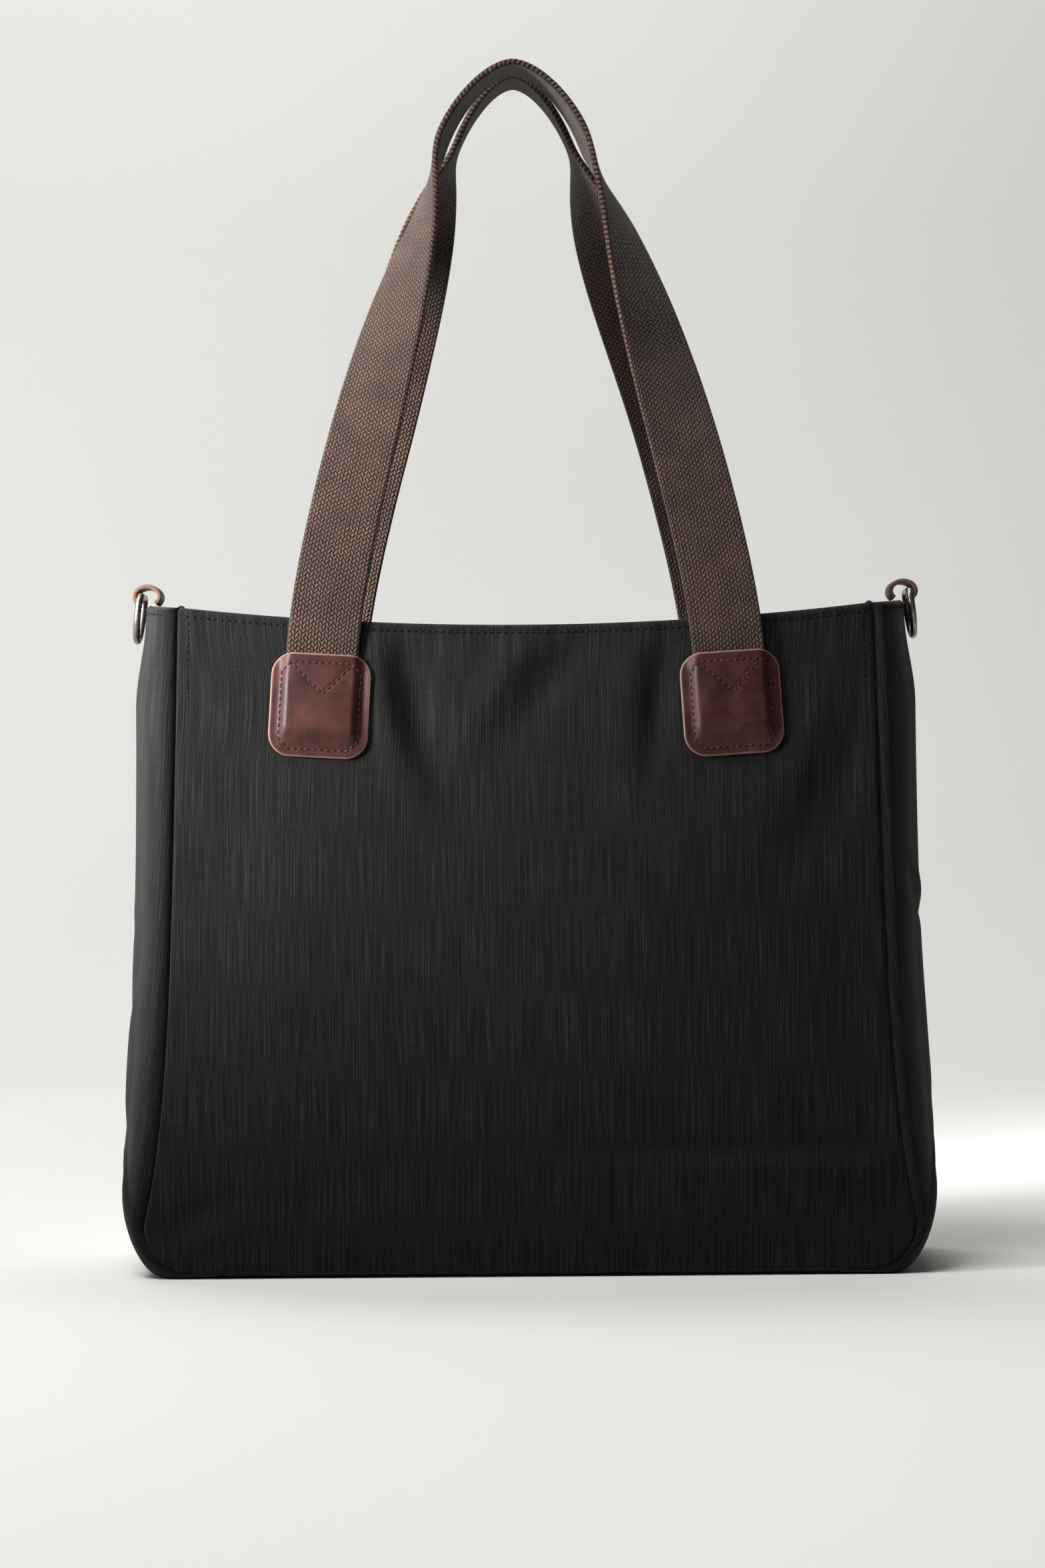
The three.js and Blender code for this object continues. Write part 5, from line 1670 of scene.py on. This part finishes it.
@dataclass
class SideRing:
    """A D-ring of steel wire in a folded leather tab at the top of a gusset.

    Attributes:
        hand: The gusset that it is on.
        wire: Diameter of the wire.
        inside: Clear width of the ring.
        reach: The bar's middle line to the bow's.
        corner: Radius of the two corners by the bar.
        tab_width: Width of the tab.
        leather: Thickness of the tab's leather.
        hole: Width and height of the tab's hole.
        throat: Half the height at which the loop pinches on the rim.
        tail_leather: Thickness of the skived ends.
        tab_layer: Depth of the skived ends' outer face.
        tab_lean: How far the loop stands out from its ends.
        gap: Clearance between the parts that move.
    """

    hand: Hand
    wire: float = 3.8
    inside: float = 25.0
    reach: float = 24.0
    corner: float = 3.5
    tab_width: float = 22.0
    leather: float = 2.5
    hole: tuple[float, float] = (11.0, 8.0)
    throat: float = 1.2
    tail_leather: float = 1.1
    tab_layer: float = 2.4
    tab_lean: float = 2.2
    gap: float = 0.4

    def tab_middle(self) -> Array:
        """Middle of the tab's loop in X and Z, on the right."""
        top = FORM.rim_height + FORM.gusset_rise
        x = float(FORM.gusset_half_width(np.array(top))) - self.tab_layer - self.tail_leather / 2.0
        return np.array([x + self.tab_lean, top + self.gap + self.throat + self.hole[1] / 2.0])

    def bar(self) -> Array:
        """Middle of the ring's bar in X and Z."""
        return self.tab_middle() + np.array([(self.hole[0] - self.wire) / 2.0 - self.gap, 0.0])

    def ring(self) -> bpy.types.Object:
        """Bends the wire: a straight bar, two small corners and a half-round bow, leaning on the gusset."""
        half, r = (self.inside + self.wire) / 2.0, self.corner
        small = np.linspace(0.0, np.pi / 2.0, 9)
        bow = np.linspace(0.0, np.pi, 48)
        right = np.stack([half - r + r * np.sin(small), -r + r * np.cos(small)], -1)
        arc = np.stack([half * np.cos(bow), half - self.reach - half * np.sin(bow)], -1)
        left = right[::-1] * [-1.0, 1.0]
        flat_bar = np.stack([np.linspace(-half + r, half - r, 14)[1:-1], np.zeros(12)], -1)
        line = np.concatenate([flat_bar, right, arc, left])
        bar = self.bar()
        low = bar[1] - self.reach
        bow_x = float(FORM.gusset_half_width(np.array(low))) + 2.0 + self.wire / 2.0
        lean = math.asin((bow_x - bar[0]) / self.reach)
        x = bar[0] - line[:, 1] * math.sin(lean)
        z = bar[1] + line[:, 1] * math.cos(lean)
        path = np.stack([x, line[:, 0], z], -1)
        along = unit(np.roll(path, -1, 0) - np.roll(path, 1, 0))
        across = np.broadcast_to([math.cos(lean), 0.0, math.sin(lean)], path.shape)
        out = unit(np.cross(along, across))
        mirror = np.array([self.hand.value, 1.0, 1.0])
        ring = swept(f"d_ring_wire_{self.hand.word}", path * mirror, across * mirror, out * mirror,
                     round_profile(self.wire / 2.0, 18), closed=True)
        NICKEL.wear(ring)
        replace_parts(ring, f"ring_{self.hand.word}")
        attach(ring, f"ring_{self.hand.word}")
        return ring

    def tab(self) -> bpy.types.Object:
        """Folds the leather round the bar: an oval loop pinched on the rim, its two ends inside the hem."""
        hole_x, hole_z = self.hole[0] / 2.0, self.hole[1] / 2.0
        middle = self.tab_middle()
        foot = math.asin((self.throat + hole_z) / (self.leather + hole_z)) - 0.12
        turn = np.linspace(-foot, np.pi + foot, 56)
        mid = self.leather / 2.0
        loop = middle + np.stack([(hole_x + mid) * np.cos(turn), (hole_z + mid) * np.sin(turn)], -1)
        across_loop = unit(np.stack([np.cos(turn) / (hole_x + mid), np.sin(turn) / (hole_z + mid)], -1))
        path = np.stack([loop[:, 0], np.zeros(len(loop)), loop[:, 1]], -1)
        out = np.stack([across_loop[:, 0], np.zeros(len(loop)), across_loop[:, 1]], -1)
        across = np.broadcast_to([0.0, 1.0, 0.0], path.shape)
        mirror = np.array([self.hand.value, 1.0, 1.0])
        profile = strip_profile(self.tab_width, self.leather, 12, 0.8)
        name = f"ring_tab_leather_{self.hand.word}"
        piece = swept(name, path * mirror, across, out * mirror, profile)
        rubbed = (np.abs(profile[:, 0]) > self.tab_width / 2.0 - 0.5).astype(np.float32) * 0.3
        edge = piece.data.attributes.new("edge", "FLOAT", "POINT")
        edge.data.foreach_set("value", np.tile(rubbed, len(path)))
        return joined(name, [piece, self.tail(mirror)])

    def tail(self, mirror: Array) -> bpy.types.Object:
        """The skived ends that run down inside the hem."""
        s = FORM.drop(np.linspace(0.0, 22.0, 12))
        line = FORM.inset(FORM.gusset_line, s, np.full_like(s, self.tab_layer + self.tail_leather / 2.0))
        line[0, 1] += self.gap
        path = np.stack([line[:, 0], np.zeros(len(s)), line[:, 1]], -1)
        out = np.broadcast_to([1.0, 0.0, 0.0], path.shape)
        across = np.broadcast_to([0.0, 1.0, 0.0], path.shape)
        return swept("tail", path * mirror, across, out * mirror,
                     strip_profile(self.tab_width, self.tail_leather, 6, 0.3))

    def build(self) -> None:
        """Makes the ring and its tab."""
        self.ring()
        tab = HIDE.wear(self.tab())
        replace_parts(tab, f"ring_tab_{self.hand.word}")
        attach(tab, "bag")
        LOG.info("side ring: %s", self.hand.word)


# ---- Studio --------------------------------------------------------------------------------------


@dataclass
class Studio:
    """The paper sweep, the lights and the camera.

    Attributes:
        distance: Camera to the bag's middle.
        height: Camera above the floor.
        aside: Camera left of the bag's middle.
        roll: Degrees that the camera is rolled.
        lens: Focal length on a 36 mm sensor.
    """

    distance: float = 2.15
    height: float = 0.260
    aside: float = -0.0021
    roll: float = 0.45
    lens: float = 90.8

    def sweep(self) -> None:
        """Bends one sheet of paper from the floor up to a wall behind the bag."""
        turn = np.linspace(0.0, np.pi / 2.0, 24)
        y = np.concatenate([[-6000.0], np.linspace(-3000.0, 1400.0, 24), 1400.0 + 900.0 * np.sin(turn[1:]),
                            [2300.0]])
        z = np.concatenate([np.zeros(25), 900.0 * (1.0 - np.cos(turn[1:])), [5200.0]])
        x = np.linspace(-6000.0, 6000.0, 16)
        rows = np.stack(np.broadcast_arrays(x[None, :], y[:, None], z[:, None]), -1)
        paper = new_object("paper_sweep", rows.reshape(-1, 3), grid_quads(len(y), len(x)))
        PAPER.wear(paper)

    def light(self, name: str, place: tuple[float, float, float], aim: tuple[float, float, float],
              size: tuple[float, float], power: float, colour: str, spread: float = 180.0) -> None:
        """Hangs one soft box that looks at a point.

        Args:
            name: The light's name.
            place: Where it hangs.
            aim: Where it looks.
            size: Its width and height.
            power: Its power in watts.
            colour: Its colour as sRGB hex.
            spread: Degrees that its grid lets the light fan out.
        """
        data = bpy.data.lights.new(name, "AREA")
        data.shape = "RECTANGLE"
        data.size, data.size_y = size
        data.energy = power
        data.spread = math.radians(spread)
        data.color = linear(colour)[:3]
        lamp = bpy.data.objects.new(name, data)
        bpy.context.scene.collection.objects.link(lamp)
        back = np.array(place) - np.array(aim)
        yaw = math.atan2(back[0], -back[1])
        pitch = math.atan2(math.hypot(back[0], back[1]), back[2])
        lamp.location = place
        lamp.rotation_euler = (pitch, 0.0, yaw)

    def build(self) -> None:
        """Sets the paper, the lights, the sky and the camera."""
        self.sweep()
        self.light("key_softbox", (-0.8, -0.36, 0.56), (-0.25, 0.0, 0.42), (0.3, 0.45), 3.4, "#ffffff", 34.0)
        self.light("backdrop_strip", (-0.6, 0.9, 2.6), (-0.2, 2.1, 0.7), (2.6, 0.9), 40.0, "#ffffff")
        self.light("floor_bank", (-0.9, -0.9, 2.4), (-0.5, -0.5, 0.0), (1.6, 1.0), 60.0, "#ffffff")
        world = bpy.data.worlds.new("soft_room")
        bpy.context.scene.world = world
        world.use_nodes = True
        shade = world.node_tree.nodes["Background"]
        shade.inputs["Color"].default_value = linear("#f8f8f6")
        shade.inputs["Strength"].default_value = 0.05
        bpy.context.scene.view_settings.view_transform = "Standard"
        data = bpy.data.cameras.new("camera")
        data.lens = self.lens
        data.sensor_width = 36.0
        camera = bpy.data.objects.new("camera", data)
        bpy.context.scene.collection.objects.link(camera)
        camera.location = (self.aside, -self.distance, self.height)
        camera.rotation_euler = (math.pi / 2.0, math.radians(self.roll), 0.0)
        bpy.context.scene.camera = camera


# ---- Assembly ------------------------------------------------------------------------------------


def dress_hidden_nodes() -> None:
    """Gives the frame's own hidden and metal nodes their finishes."""
    finishes = {"base_board": BOARD, "snap": NICKEL}
    for name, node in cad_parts.items():
        for start, finish in finishes.items():
            if name.startswith(start):
                node.data.materials.clear()
                node.data.materials.append(finish.material())


def main() -> None:
    """Builds the bag from its canvas outwards, then the studio."""
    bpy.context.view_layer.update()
    CanvasShell().build()
    InnerBag().build()
    Fastenings().build()
    for face in Face:
        for leg in Hand:
            for piece in StrapPatch(PatchPlace(face, leg)).build():
                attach(piece, "bag")
                LOG.info("strap patch: %s", piece.name)
    Handle(Face.FRONT, 39.5, 0.79, 2.5, 0.08, 0.25, 0.72, 0.16).build()
    Handle(Face.BACK, 33.5, 0.83, 4.5, 0.02, 0.0, 0.35, 0.45).build()
    for hand in Hand:
        SideRing(hand).build()
    dress_hidden_nodes()
    Studio().build()


if __name__ == "__main__":
    logging.basicConfig(level=logging.INFO, format="%(name)s %(message)s")
    main()
